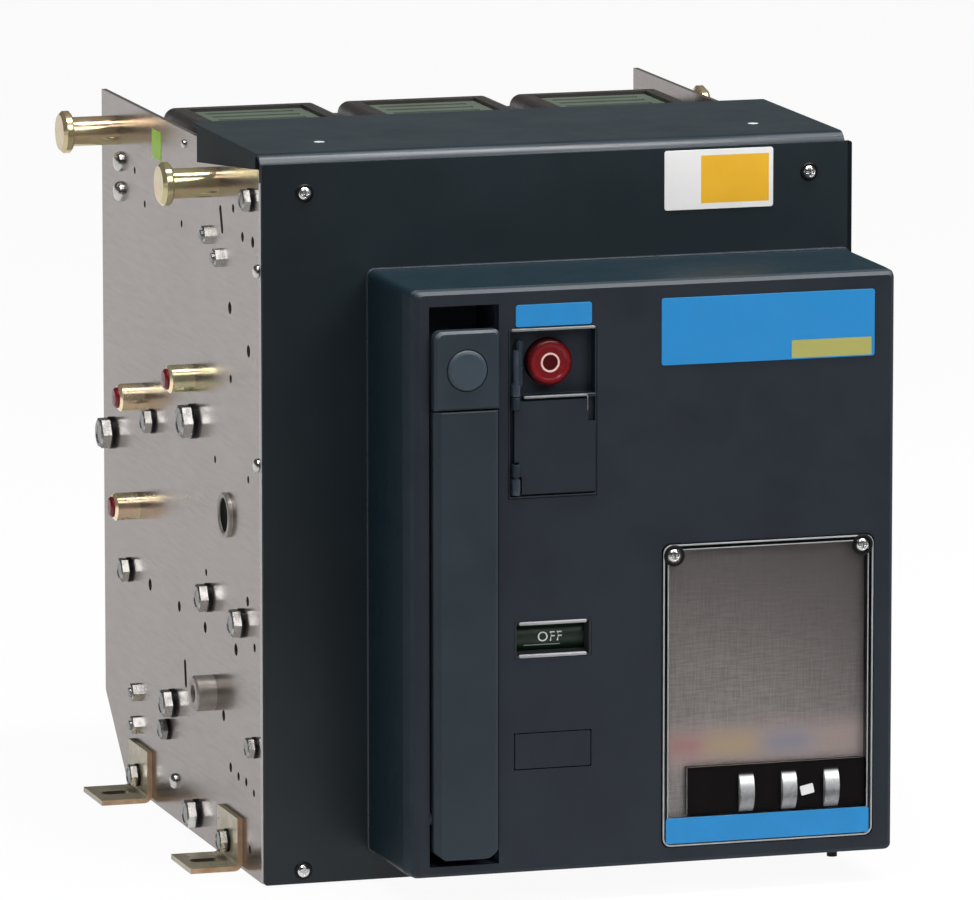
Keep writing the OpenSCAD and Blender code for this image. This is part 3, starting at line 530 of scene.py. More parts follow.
def rating_finish(name, colour, low, high):
    """Blue printed plate with a yellow field in its lower right corner."""
    made = Finish(name, colour, 0.36, specular=0.22)
    width, height = high - low
    made.base(made.blend(made.noise(40.0), shade(colour, 0.93), shade(colour, 1.06)))
    across = (low[0] + 0.61 * width, low[0] + 0.985 * width)
    up = (low[1] + 0.02 * height, low[1] + 0.285 * height)
    made.over(made.field(across, up), (0.33, 0.318, 0.095))
    return made.done((0.3, 0.44, 70.0), FILM_GRAIN)


def notice_finish(name, low, high):
    """Two-tone printed plate: pale left third, amber right part and a pale border."""
    made = Finish(name, (0.8, 0.8, 0.78), 0.4, specular=0.35)
    made.base(made.blend(made.noise(60.0), (0.7, 0.7, 0.69), (0.8, 0.8, 0.79)))
    amber = made.blend(made.noise(60.0), (0.72, 0.38, 0.012), (0.8, 0.44, 0.022))
    across = (low[0] + 0.335 * (high[0] - low[0]), high[0] - 2.6 * MM)
    up = (low[1] + 3.4 * MM, high[1] - 3.4 * MM)
    made.over(made.field(across, up), amber)
    return made.done((0.34, 0.46, 70.0), FILM_GRAIN)


def extent(name):
    """Lowest corner, highest corner and middle of a CAD node's box."""
    low, high = (np.array(corner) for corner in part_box(name))
    return low, high, (low + high) / 2


def both(kind):
    """Names of the left and the right node of a kind."""
    return [f"{side}_{kind}" for side in SIDES]


def dress(nodes, material):
    """Gives a finish to CAD nodes through their material slots."""
    for name in nodes:
        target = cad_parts[name]
        if not target.material_slots:
            target.data.materials.append(material)
        for slot in target.material_slots:
            slot.material = material


def soften(nodes, width):
    """Rounds the edges of CAD nodes by a small width, as a press tool or a mould leaves them."""
    for name in nodes:
        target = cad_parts[name]
        weld = target.modifiers.new("Joined", "WELD")
        weld.merge_threshold = 0.002 * MM
        bevel = target.modifiers.new("Edges", "BEVEL")
        bevel.width = width
        bevel.segments = 2
        bevel.limit_method = "ANGLE"
        bevel.angle_limit = math.radians(35)
        bevel.harden_normals = True


def grid_faces(rows, columns):
    """Quads between neighbouring rows and columns of a grid whose last column meets its first."""
    row = np.arange(rows - 1)[:, None] * columns
    column = np.arange(columns)[None, :]
    ahead = (column + 1) % columns
    corners = [row + column, row + ahead, row + columns + ahead, row + columns + column]
    return np.stack(corners, -1).reshape(-1, 4)


def turned(radii, heights, sides=32, hexed=None):
    """Carries a profile round an axis: each point is (r k cos a, r k sin a, h) for the angle a.

    k is 1 on a round row. On a row with hex weight 1, k is 1 / cos of the angle to the nearest
    flat's middle, so r is half the width across flats.
    """
    radii = np.asarray(radii, dtype=float)[:, None]
    heights = np.asarray(heights, dtype=float)[:, None]
    weight = np.zeros_like(radii) if hexed is None else np.asarray(hexed, dtype=float)[:, None]
    angle = np.arange(sides)[None, :] * 2 * np.pi / sides
    to_flat = (angle + np.pi / 6) % (np.pi / 3) - np.pi / 6
    reach = radii * (1 + weight * (1 / np.cos(to_flat) - 1))
    points = np.stack([reach * np.cos(angle), reach * np.sin(angle), heights + 0 * angle], -1)
    return points.reshape(-1, 3), grid_faces(len(radii), sides)


def cross_head(steps=14, sides=64):
    """A unit pan head with a cross recess, as a height over polar rings.

    The height is a flattened dome, 0.12 + 0.34 (1 - r^4), less a pit of depth 0.24 that lies within
    0.06 of either cross axis and 0.58 of the middle, with walls 0.1 wide.
    """
    ring = np.linspace(1, 0, steps)[:, None]
    angle = np.arange(sides)[None, :] * 2 * np.pi / sides
    x, y = ring * np.cos(angle), ring * np.sin(angle)
    across = np.minimum(np.abs(x), np.abs(y))
    wall = np.clip((0.16 - across) / 0.1, 0, 1) * np.clip((0.68 - ring) / 0.1, 0, 1)
    height = 0.12 + 0.34 * (1 - ring ** 4) - 0.24 * wall
    points = np.stack([x, y, height], -1).reshape(-1, 3)
    skirt = np.stack([np.cos(angle), np.sin(angle), 0 * angle], -1).reshape(-1, 3)
    return np.concatenate([skirt, points]), grid_faces(steps + 1, sides)


def rounded_path(width, height, corner, sides=64):
    """Points of a rectangle's outline with round corners, anticlockwise about the origin.

    A point is (W c + r cos a, H s + r sin a), where c and s are the signs of cos a and sin a, and W
    and H are the half sizes less the corner radius r.
    """
    angle = (np.arange(sides) + 0.5) * 2 * np.pi / sides
    x = (width / 2 - corner) * np.sign(np.cos(angle)) + corner * np.cos(angle)
    y = (height / 2 - corner) * np.sign(np.sin(angle)) + corner * np.sin(angle)
    return np.stack([x, y], -1)


def slab(width, height, thickness, corner, sides=48):
    """A thin plate with round corners: its outline carried up through three rows to a flat top.

    Row i is (x (1 - 2 d / width), y (1 - 2 d / height), h) for the outline's (x, y), where the inset
    d is 0 up to the top's chamfer. The last row lies in the middle of the top.
    """
    inset = np.array([0.0, 0.0, 0.2 * thickness])[:, None]
    shrink = np.concatenate([1 - 2 * inset / np.array([width, height]), np.zeros((1, 2))])
    flat = shrink[:, None] * rounded_path(width, height, corner, sides)
    up = np.array([0.0, 0.8, 1.0, 1.0])[:, None, None] * thickness
    points = np.concatenate([flat, np.broadcast_to(up, (4, sides, 1))], -1)
    return points.reshape(-1, 3), grid_faces(4, sides)


def bead(path, radius, sides=10):
    """A round bead carried along a closed flat path: each point is p + r (n cos a + z sin a).

    p is a path point, n the outward normal in the path's plane and z the direction away from it.
    """
    ahead = np.roll(path, -1, axis=0) - np.roll(path, 1, axis=0)
    ahead /= np.linalg.norm(ahead, axis=1)[:, None]
    normal = np.stack([ahead[:, 1], -ahead[:, 0]], -1)
    angle = np.arange(sides + 1)[:, None] * 2 * np.pi / sides
    flat = path[None] + radius * np.cos(angle)[..., None] * normal[None]
    up = np.broadcast_to(radius * np.sin(angle), (sides + 1, len(path)))
    points = np.concatenate([flat, up[..., None]], -1)
    return points.reshape(-1, 3), grid_faces(sides + 1, len(path))


def rod(first, last, radius, sides=12):
    """A bar with tapered ends between two points: each point is p + r (u cos a + v sin a).

    p runs from the first point to the last, r falls to 0 at both ends, and u and v are unit vectors
    across.
    """
    first, last = np.asarray(first, dtype=float), np.asarray(last, dtype=float)
    along = (last - first) / np.linalg.norm(last - first)
    across = np.cross(along, [0.0, 1.0, 0.0])
    across /= np.linalg.norm(across)
    upright = np.cross(along, across)
    share = np.array([0, 0.015, 0.03, 0.97, 0.985, 1])[:, None, None]
    reach = np.array([0, 0.8, 1, 1, 0.8, 0])[:, None, None] * radius
    angle = (np.arange(sides) * 2 * np.pi / sides)[None, :, None]
    around = across * np.cos(angle) + upright * np.sin(angle)
    points = first + share * (last - first) + reach * around
    return points.reshape(-1, 3), grid_faces(6, sides)


def repeat(shape, places, facing, sizes=1.0):
    """Copies of a shape at many places, each multiplied by its size and turned to face one way."""
    points, faces = shape
    places = np.atleast_2d(np.asarray(places, dtype=float))
    sizes = np.broadcast_to(np.asarray(sizes, dtype=float), (len(places),))
    turn = np.array(FACING[facing], dtype=float)
    copies = (sizes[:, None, None] * points[None]) @ turn + places[:, None]
    shift = np.arange(len(places))[:, None, None] * len(points)
    return copies.reshape(-1, 3), (faces[None] + shift).reshape(-1, 4)


def joined(shapes):
    """Several shapes as one."""
    counts = np.cumsum([0] + [len(points) for points, _ in shapes[:-1]])
    points = np.concatenate([points for points, _ in shapes])
    faces = np.concatenate([faces + count for (_, faces), count in zip(shapes, counts)])
    return points, faces


def add_object(name, mesh, material, body="frame"):
    """Makes an object of a mesh with one material, lets it ride on a body and gives it a slot."""
    mesh.materials.clear()
    mesh.materials.append(material)
    made = bpy.data.objects.new(name, mesh)
    bpy.context.collection.objects.link(made)
    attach(made, body)


def add_piece(name, shape, material, body="frame"):
    """Makes an object from points and quads, closes its poles and points its faces outwards."""
    points, faces = shape
    mesh = bpy.data.meshes.new(name)
    mesh.from_pydata(points.tolist(), [], faces.tolist())
    work = bmesh.new()
    work.from_mesh(mesh)
    bmesh.ops.remove_doubles(work, verts=work.verts, dist=0.001 * MM)
    bmesh.ops.dissolve_degenerate(work, edges=work.edges, dist=0.001 * MM)
    bmesh.ops.recalc_face_normals(work, faces=work.faces)
    work.to_mesh(mesh)
    work.free()
    mesh.shade_smooth()
    mesh.set_sharp_from_angle(angle=math.radians(34))
    add_object(name, mesh, material, body)


def on_side(rows, side):
    """World places of fasteners listed by depth and height on a side plate, and their sizes."""
    rows = np.asarray(rows, dtype=float) * MM
    face = np.full(len(rows), PLATE_FACE[side])
    return np.stack([face, PANEL_FACE + rows[:, 0], rows[:, 1]], -1), rows[:, 2]


def on_front(rows, face):
    """World places listed by X and height on a plane that faces the front."""
    rows = np.asarray(rows, dtype=float) * MM
    return np.stack([rows[:, 0], np.full(len(rows), face), rows[:, 1]], -1)


class BREAKER_OT_finish_frame(bpy.types.Operator):
    """Finishes the side plates, feet, pins, bushes and bars"""

    bl_idname = "breaker.finish_frame"
    bl_label = "Frame finishes"

    def execute(self, context):
        """Plated sheet, yellow zinc and turned steel."""
        colours = context.scene.breaker_colours
        feet = both("front_foot") + both("rear_foot")
        slots = [extent(name)[2][1] for name in ("left_front_foot", "left_rear_foot")]
        dress(both("side_plate"), sheet_steel_finish("plate_steel", colours.plate))
        dress(feet, foot_finish("foot_zinc", colours.foot, slots))
        dress(both("front_pin") + both("rear_pin"), zinc_finish("pin_zinc", colours.zinc, 0.16))
        dress(both("locators"), zinc_finish("locator_brass", (0.97, 0.86, 0.58), 0.2))
        dress(both("locator_tips"), gloss_finish("tip_red", (0.15, 0.006, 0.01), 0.25))
        # The last colour is painted shade on the faces that look sideways.
        steel = turned_steel_finish("bush_steel", (0.4, 0.365, 0.335), 0.38, 0.6, (0.25, 0.217, 0.2))
        dress(both("bushes") + ["tie_bars"], steel)
        return {"FINISHED"}


class BREAKER_OT_finish_shroud(bpy.types.Operator):
    """Finishes the front panel and the top cover"""

    bl_idname = "breaker.finish_shroud"
    bl_label = "Shroud finish"

    def execute(self, context):
        """Dark blue-grey powder coat."""
        colour = context.scene.breaker_colours.shroud
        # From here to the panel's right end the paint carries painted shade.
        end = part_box("front_panel")[1][0] - 3 * MM
        dress(["front_panel"], paint_finish("panel_paint", colour, end=end))
        rivets = [(x * MM, PANEL_FACE + depth * MM, COVER_TOP) for x, depth in COVER_RIVETS]
        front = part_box("top_cover")[0][1]
        # The bend carries the painted highlight streaks.
        bend = (front - MM, front + 5 * MM)
        dress(["top_cover"], paint_finish("cover_paint", shade(colour, 1.1), rivets, bend))
        soften(["front_panel", "top_cover"], 0.5 * MM)
        return {"FINISHED"}


class BREAKER_OT_finish_facia(bpy.types.Operator):
    """Finishes the facia and the mouldings set in it"""

    bl_idname = "breaker.finish_facia"
    bl_label = "Facia finish"

    def execute(self, context):
        """Grained dark moulding, with black pockets behind it."""
        colour = context.scene.breaker_colours.facia
        # Painted shade on faces that look up or sideways, painted highlight on the upper front roundings
        dress(["facia", "padlock_flap", "blank_plug", "trip_insert"],
              moulding_finish("facia_grain", colour, edge=PAINTED_EDGE_HIGHLIGHT, flank=FLANK_SHADE_TEAL))
        dress(["flap_hinge"], gloss_finish("hinge_moulding", shade(colour, 1.8), 0.2))
        # Painted light: the trough's moulding is three times as light as the facia's, against its deep
        # shade.
        dress(["handle_trough"], moulding_finish("trough_moulding", shade(colour, 3.0)))
        dress(["release_housing"], moulding_finish("pocket_black", (0.006, 0.006, 0.007)))
        dress(["dial_block"], moulding_finish("dial_black", (0.004, 0.003, 0.003), 0.6, specular=0.08))
        soften(["blank_plug", "trip_insert", "flap_hinge", "dial_block"], 0.4 * MM)
        soften(["padlock_flap"], 0.9 * MM)
        return {"FINISHED"}


class BREAKER_OT_facia_details(bpy.types.Operator):
    """Adds the facia's rear lip and peg, the trip pocket's lip and blade, and the flap's lip; the
    pocket's and the flap's lips are bars of painted highlight
    """

    bl_idname = "breaker.facia_details"
    bl_label = "Facia details"

    def execute(self, context):
        """A bead along the facia's outline on the panel, a turned peg, tapered bars of painted highlight
        and a slab.
        """
        colour = context.scene.breaker_colours.facia
        low, high, middle = extent("facia")
        path = rounded_path(high[0] - low[0], high[2] - low[2], 4 * MM)
        place = [(middle[0], PANEL_FACE - 0.7 * MM, middle[2])]
        add_piece("facia_lip", repeat(bead(path, 1.1 * MM), place, "front"),
                  gloss_finish("lip_moulding", shade(colour, 1.15), 0.3))

        peg = turned([0, 3, 3, 2.4, 0], [-4, -4, -0.6, 0, 0.2])
        place = [(PEG_X * MM, FACIA_FACE + 14 * MM, low[2])]
        add_piece("facia_peg", repeat(peg, place, "up", MM),
                  moulding_finish("peg_black", (0.004, 0.004, 0.005)))

        # Painted highlight: pale glossy bars along the pocket's upper edge and the flap's top edge
        painted_highlight = gloss_finish("edge_polish", (0.16, 0.165, 0.17), 0.22)
        low, high, _ = extent("trip_insert")
        crest = high[2] - 2.9 * MM
        ends = ((low[0] + 4 * MM, FACIA_FACE, crest), (high[0] - 3.4 * MM, FACIA_FACE, crest))
        add_piece("pocket_lip", rod(*ends, 0.9 * MM), painted_highlight)

        low, high, _ = extent("padlock_flap")
        front = FACIA_FACE - 1.4 * MM
        crest = high[2] - 0.4 * MM
        corner = np.array([high[0] - 4.4 * MM, front, crest])
        bar = rod((low[0] + 7 * MM, front, crest), corner, 0.8 * MM)
        lip = joined([bar, rod(corner, corner - [0, 0, 9 * MM], 0.35 * MM)])
        add_piece("flap_lip", lip, painted_highlight, "flap")

        blade = slab(3.6 * MM, 27 * MM, 5 * MM, 1.7 * MM)
        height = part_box("trip_button")[0][2] + 12.5 * MM
        place = [(BLADE_X * MM, FACIA_FACE + 7 * MM, height)]
        add_piece("pocket_blade", repeat(blade, place, "front"),
                  gloss_finish("blade_moulding", shade(colour, 1.7)))
        return {"FINISHED"}


class BREAKER_OT_finish_handle(bpy.types.Operator):
    """Finishes the handle"""

    bl_idname = "breaker.finish_handle"
    bl_label = "Handle finish"

    def execute(self, context):
        """Smooth dark moulding, a little lighter than the facia."""
        colour = context.scene.breaker_colours.handle
        for node, factor in (("handle_lever", 1.0), ("handle_head", 1.18), ("handle_disc", 1.9)):
            tone = shade(colour, factor)
            # Painted highlight on the upper front roundings
            dress([node], moulding_finish(f"{node}_moulding", tone, 0.42, 0.03, edge=PAINTED_EDGE_HIGHLIGHT))
        soften(["handle_lever", "handle_head"], 0.7 * MM)
        return {"FINISHED"}


class BREAKER_OT_trip_button(bpy.types.Operator):
    """Finishes the trip button and adds the pale ring on it"""

    bl_idname = "breaker.trip_button"
    bl_label = "Trip button"

    def execute(self, context):
        """A flat ring that stands a little out of the button's dish."""
        low, _, middle = extent("trip_button")
        red = context.scene.breaker_colours.red
        dress(["trip_button"], button_finish("trip_red", red, middle))
        radii = np.array([4.5, 4.5, 4.7, 5.4, 5.6, 5.6]) * MM
        heights = np.array([0.0, 0.35, 0.5, 0.5, 0.35, 0.0]) * MM
        place = [(middle[0], low[1] + 0.8 * MM, middle[2])]
        add_piece("trip_ring", repeat(turned(radii, heights, 48), place, "front"),
                  print_finish("ring_pale", (0.66, 0.42, 0.39)), "trip")
        return {"FINISHED"}


class BREAKER_OT_indicator(bpy.types.Operator):
    """Finishes the indicator and adds its word, a line of painted reflection, and the window's lips of
    painted highlight
    """

    bl_idname = "breaker.indicator"
    bl_label = "Indicator"

    def execute(self, context):
        """Flat points are laid on the drum: y = middle - root(R^2 - (z - middle)^2)."""
        green = context.scene.breaker_colours.green
        dress(["indicator_drum"], gloss_finish("flag_green", green, 0.4))
        dress(["indicator_frame"], moulding_finish("window_moulding", (0.02, 0.023, 0.026), 0.4))
        low, high, middle = extent("indicator_drum")
        radius = (high[2] - low[2]) / 2
        self.add_word(middle, radius + 0.12 * MM, context.scene.breaker_plates.letter_height)
        self.add_lips()
        # Painted reflection: a pale line across the drum under the word
        drop = 4.4 * MM
        front = middle[1] - math.sqrt(radius ** 2 - drop ** 2)
        ends = [(low[0] + share * (high[0] - low[0]), front, middle[2] - drop) for share in (0.12, 0.66)]
        add_piece("indicator_line", rod(*ends, 0.4 * MM),
                  print_finish("line_pale", (0.16, 0.2, 0.16)))
        return {"FINISHED"}

    def add_word(self, middle, radius, letter_height):
        """A word's flat outline, bent round the drum's axis."""
        curve = bpy.data.curves.new("indicator_word", "FONT")
        curve.body = "OFF"
        curve.align_x = "CENTER"
        curve.align_y = "CENTER"
        curve.size = letter_height / CAPITAL_SHARE
        curve.space_character = 1.1
        curve.resolution_u = 6
        draft = bpy.data.objects.new("indicator_draft", curve)
        mesh = bpy.data.meshes.new_from_object(draft)
        bpy.data.objects.remove(draft)
        flat = np.empty(len(mesh.vertices) * 3)
        mesh.vertices.foreach_get("co", flat)
        flat = flat.reshape(-1, 3)
        depth = middle[1] - np.sqrt(radius ** 2 - flat[:, 1] ** 2)
        laid = np.stack([middle[0] + flat[:, 0], depth, middle[2] + flat[:, 1]], -1)
        mesh.vertices.foreach_set("co", laid.ravel())
        mesh.update()
        add_object("indicator_word", mesh, print_finish("word_white", (0.6, 0.62, 0.6)))

    def add_lips(self):
        """Bright bars of painted highlight along the window's upper and lower edge."""
        low, high, middle = extent("indicator_frame")
        left, right = low[0] + 5 * MM, high[0] - 5 * MM
        depth = FACIA_FACE + 0.4 * MM
        heights = middle[2] + np.array([9.4, -9.4]) * MM
        lips = joined([rod((left, depth, z), (right, depth, z), 1.1 * MM) for z in heights])
        # Painted highlight: pale glossy bars on the window's edges
        pale = gloss_finish("lip_pale", (0.27, 0.27, 0.28), 0.18)
        add_piece("indicator_lips", lips, pale)


class BREAKER_OT_release(bpy.types.Operator):
    """Finishes the release behind its clear cover and adds the cover's rim and screws"""

    bl_idname = "breaker.release"
    bl_label = "Release"

    def execute(self, context):
        """Brushed plate, dials with painted light, clear sheet, beads of painted highlight on its edge
        and two screws.
        """
        dress(["release_plate"], release_finish("release_brushed"))
        dress(["setting_dials"], dial_finish("dial_bright"))
        dress(["release_cover"], clear_finish("clear_sheet"))
        low, high, middle = extent("release_cover")
        width, _, height = high - low
        # Painted highlight: pale glossy beads along the clear sheet's outer and inner edge
        outer = rounded_path(width - 1.2 * MM, height - 1.2 * MM, 4.6 * MM)
        inner = rounded_path(width - 6.4 * MM, height - 6.4 * MM, 3 * MM)
        beads = joined([bead(outer, 0.5 * MM), bead(inner, 0.35 * MM)])
        add_piece("cover_rim", repeat(beads, [(middle[0], CLEAR_FACE, middle[2])], "front"),
                  gloss_finish("rim_clear", (0.3, 0.31, 0.32), 0.2))

        places = on_front(CLEAR_SCREWS, CLEAR_FACE)
        seat = turned([6.2, 6.2, 5.6, 4.4, 4.4], [0, 0.5, 0.9, 0.9, 0.2])
        add_piece("cover_seats", repeat(seat, places, "front", MM),
                  moulding_finish("seat_black", (0.004, 0.004, 0.004)))
        places = places + np.array([0, -0.2 * MM, 0])
        add_piece("cover_screws", repeat(cross_head(), places, "front", 3.7 * MM),
                  turned_steel_finish("cover_screw_steel", (0.66, 0.66, 0.66)))

        low, _, middle = extent("dial_block")
        points, faces = slab(8 * MM, 5.6 * MM, 0.4 * MM, 0.6 * MM)
        cosine, sine = math.cos(MARK_TILT), math.sin(MARK_TILT)
        points[:, :2] = points[:, :2] @ np.array([[cosine, sine], [-sine, cosine]])
        place = [(MARK_X * MM, low[1], middle[2] - 3 * MM)]
        add_piece("dial_mark", repeat((points, faces), place, "front"),
                  print_finish("mark_white", (0.72, 0.72, 0.72)))
        return {"FINISHED"}


class BREAKER_OT_finish_poles(bpy.types.Operator):
    """Finishes the arc chutes, poles and terminals"""

    bl_idname = "breaker.finish_poles"
    bl_label = "Pole finishes"

    def execute(self, context):
        """Dark thermoset, fibre vents and silver-plated bars."""
        chutes, poles = ([f"{side}_{kind}" for side in ("left", "middle", "right")]
                         for kind in ("arc_chute", "pole"))
        terminals = ["upper_terminals", "lower_terminals"]
        dress(chutes, moulding_finish("chute_moulding", (0.03, 0.027, 0.024), 0.4, 0.1, 0.4))
        dress(poles, moulding_finish("pole_moulding", (0.05, 0.043, 0.039), 0.5, 0.12))
        dress(["arc_vents"], moulding_finish("vent_fibre", (0.08, 0.097, 0.077), 0.7, 0.15, 0.1))
        dress(terminals, turned_steel_finish("terminal_silver", (0.6, 0.57, 0.52), 0.34, 0.5))
        soften(poles, 1.0 * MM)
        soften(chutes + terminals, 0.8 * MM)
        return {"FINISHED"}


class BREAKER_OT_side_fasteners(bpy.types.Operator):
    """Adds the bolts, washers, nuts and screws on both side plates"""

    bl_idname = "breaker.side_fasteners"
    bl_label = "Side fasteners"

    def execute(self, context):
        """Unit shapes, as wide as 1, are multiplied by each fastener's width and turned outwards."""
        sizes = context.scene.breaker_fasteners
        # The last colour is painted shade on the faces that look sideways.
        steel = turned_steel_finish("bolt_steel", (0.6, 0.6, 0.58), 0.2, 0.85, (0.13, 0.13, 0.125))
        bright = turned_steel_finish("screw_steel", (0.56, 0.55, 0.53))
        black = moulding_finish("washer_black", (0.006, 0.006, 0.007), 0.4)
        lift = sizes.washer_height
        high = lift + sizes.head_height
        wide = sizes.washer_width / 2
        washer = turned([wide * 0.5, wide, wide, wide * 0.93, 0.4], [0, 0, lift * 0.8, lift, lift])
        head = turned([0.5, 0.5, 0.46, 0.36, 0.33, 0],
                      [lift, high - 0.05, high, high, high - 0.03, high - 0.03],
                      48, [1, 1, 0, 0, 0, 0])
        nut = turned([0.5, 0.5, 0.46, 0.3, 0.29, 0.29, 0.24, 0],
                     [0, 0.36, 0.42, 0.42, 0.4, 0.52, 0.56, 0.56],
                     48, [1, 1, 0, 0, 0, 0, 0, 0])
        dome = turned([0.5, 0.5, 0.44, 0.33, 0.18, 0], [0, 0.12, 0.24, 0.33, 0.375, 0.385])
        rows = [
            ("washers", washer, SIDE_BOLTS + FOOT_BOLTS, black, "black_plastic"),
            ("bolts", head, SIDE_BOLTS + FOOT_BOLTS, steel, "bush_steel"),
            ("nuts", nut, SIDE_NUTS, steel, "bush_steel"),
            ("screws", dome, SIDE_SCREWS, bright, "bush_steel"),
        ]
        for side in SIDES:
            for kind, shape, measures, material, slot in rows:
                places, widths = on_side(measures, side)
                if kind in ("washers", "bolts"):
                    places[-len(FOOT_BOLTS):, 0] += OUTWARD[side] * FOOT_SHEET
                add_piece(f"{side}_{kind}", repeat(shape, places, side, widths), material)
        return {"FINISHED"}


class BREAKER_OT_bush_shade_discs(bpy.types.Operator):
    """Adds dark discs of painted shade in the ring bushes and in the bores of the tube bushes"""

    bl_idname = "breaker.bush_plugs"
    bl_label = "Bush plugs"

    def execute(self, context):
        """Dished discs of painted shade, turned about the bushes' axes."""
        # Painted shade: black discs stand for the shade deep in the bushes' holes.
        black = moulding_finish("plug_black", (0.004, 0.004, 0.004), 0.7, specular=0.04)
        disc = turned([10, 10, 8, 4, 0], [0, 0.9, 0.7, 0.55, 0.5])
        bore_shade = turned([0, 5.2, 5.2, 4, 0], [-1, -1, 0, -0.3, -0.4])
        for side in SIDES:
            low, high, _ = extent(f"{side}_bushes")
            ring, _ = on_side([(RING_DEPTH, high[2] / MM - RING_DROP, 1)], side)
            ring[:, 0] += OUTWARD[side] * 0.5 * MM
            bore, _ = on_side([(*TUBE_BORE, 1)], side)
            outer = low[0] if side == "left" else high[0]
            bore[:, 0] = outer - OUTWARD[side] * 3 * MM
            shade_discs = joined([repeat(disc, ring, side, MM), repeat(bore_shade, bore, side, MM)])
            add_piece(f"{side}_plugs", shade_discs, black)
        return {"FINISHED"}


class BREAKER_OT_shroud_fasteners(bpy.types.Operator):
    """Adds the screws in the front panel and their washers"""

    bl_idname = "breaker.shroud_fasteners"
    bl_label = "Shroud fasteners"

    def execute(self, context):
        """Cross-recessed heads, each on a black cup washer as wide as 1.5 heads."""
        size = context.scene.breaker_fasteners.panel_screw
        steel = turned_steel_finish("panel_screw_steel", (0.72, 0.72, 0.72))
        black = moulding_finish("cup_black", (0.004, 0.004, 0.005), 0.4)
        places = on_front(PANEL_SCREWS, PANEL_FACE)
        cup = turned([0.4, 0.75, 0.75, 0.66, 0.4], [0, 0, 0.04, 0.12, 0.12])
        add_piece("panel_washers", repeat(cup, places, "front", size), black)
        heads = repeat(cross_head(), places - np.array([0, 0.1 * size, 0]), "front", size / 2)
        add_piece("panel_screws", heads, steel)
        return {"FINISHED"}


class BREAKER_OT_plates(bpy.types.Operator):
    """Adds the bare printed plates and the sticker"""

    bl_idname = "breaker.plates"
    bl_label = "Plates"

    def execute(self, context):
        """Thin slabs with round corners on the panel, the facia, the clear cover and the side plate."""
        sizes = context.scene.breaker_plates
        blue = context.scene.breaker_colours.blue
        places = (RATING_PLATE, NOTICE_PLATE, TRIP_PLATE, RELEASE_STRIP)
        rating, notice, trip, strip = (np.array(corners) * MM for corners in places)
        film = print_finish("film_blue", blue)
        blue_print = rating_finish("rating_print", blue, *rating)
        rows = [
            ("rating_plate", rating, FACIA_FACE, blue_print, "facia_plastic"),
            ("notice_plate", notice, PANEL_FACE, notice_finish("notice_print", *notice), "shroud_paint"),
            ("trip_plate", trip, FACIA_FACE, film, "facia_plastic"),
            ("release_strip", strip, CLEAR_FACE, film, "clear_cover"),
        ]
        for name, (low, high), face, material, slot in rows:
            middle = (low + high) / 2
            shape = slab(*(high - low), sizes.thickness, sizes.corner)
            add_piece(name, repeat(shape, [(middle[0], face, middle[1])], "front"), material)
        place, _ = on_side([(*STICKER, 1)], "left")
        add_piece("side_sticker", repeat(slab(17 * MM, 20 * MM, 0.2 * MM, 1 * MM), place, "left"),
                  print_finish("film_lime", (0.3, 0.55, 0.03)))
        return {"FINISHED"}


class BREAKER_OT_rear_screws(bpy.types.Operator):
    """Adds the socket screws in the poles' rear faces"""

    bl_idname = "breaker.rear_screws"
    bl_label = "Rear screws"

    def execute(self, context):
        """Socket heads near the four corners of each pole's rear face."""
        steel = turned_steel_finish("rear_screw_steel", (0.3, 0.3, 0.3))
        head = turned([0.5, 0.5, 0.46, 0.3, 0.29, 0], [0, 0.5, 0.56, 0.56, 0.25, 0.25],
                      48, [0, 0, 0, 1, 1, 0])
        low, high, _ = extent("middle_pole")
        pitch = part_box("right_pole")[0][0] - low[0]
        x = np.array([-1, 0, 1])[:, None, None] * pitch + np.array([-38, 38])[None, :, None] * MM
        z = np.array([low[2] + 42 * MM, high[2] - 22 * MM])[None, None, :]
        places = np.stack(np.broadcast_arrays(x, np.float64(POLE_REAR), z), -1).reshape(-1, 3)
        add_piece("rear_screws", repeat(head, places, "back", 10 * MM), steel)
        return {"FINISHED"}


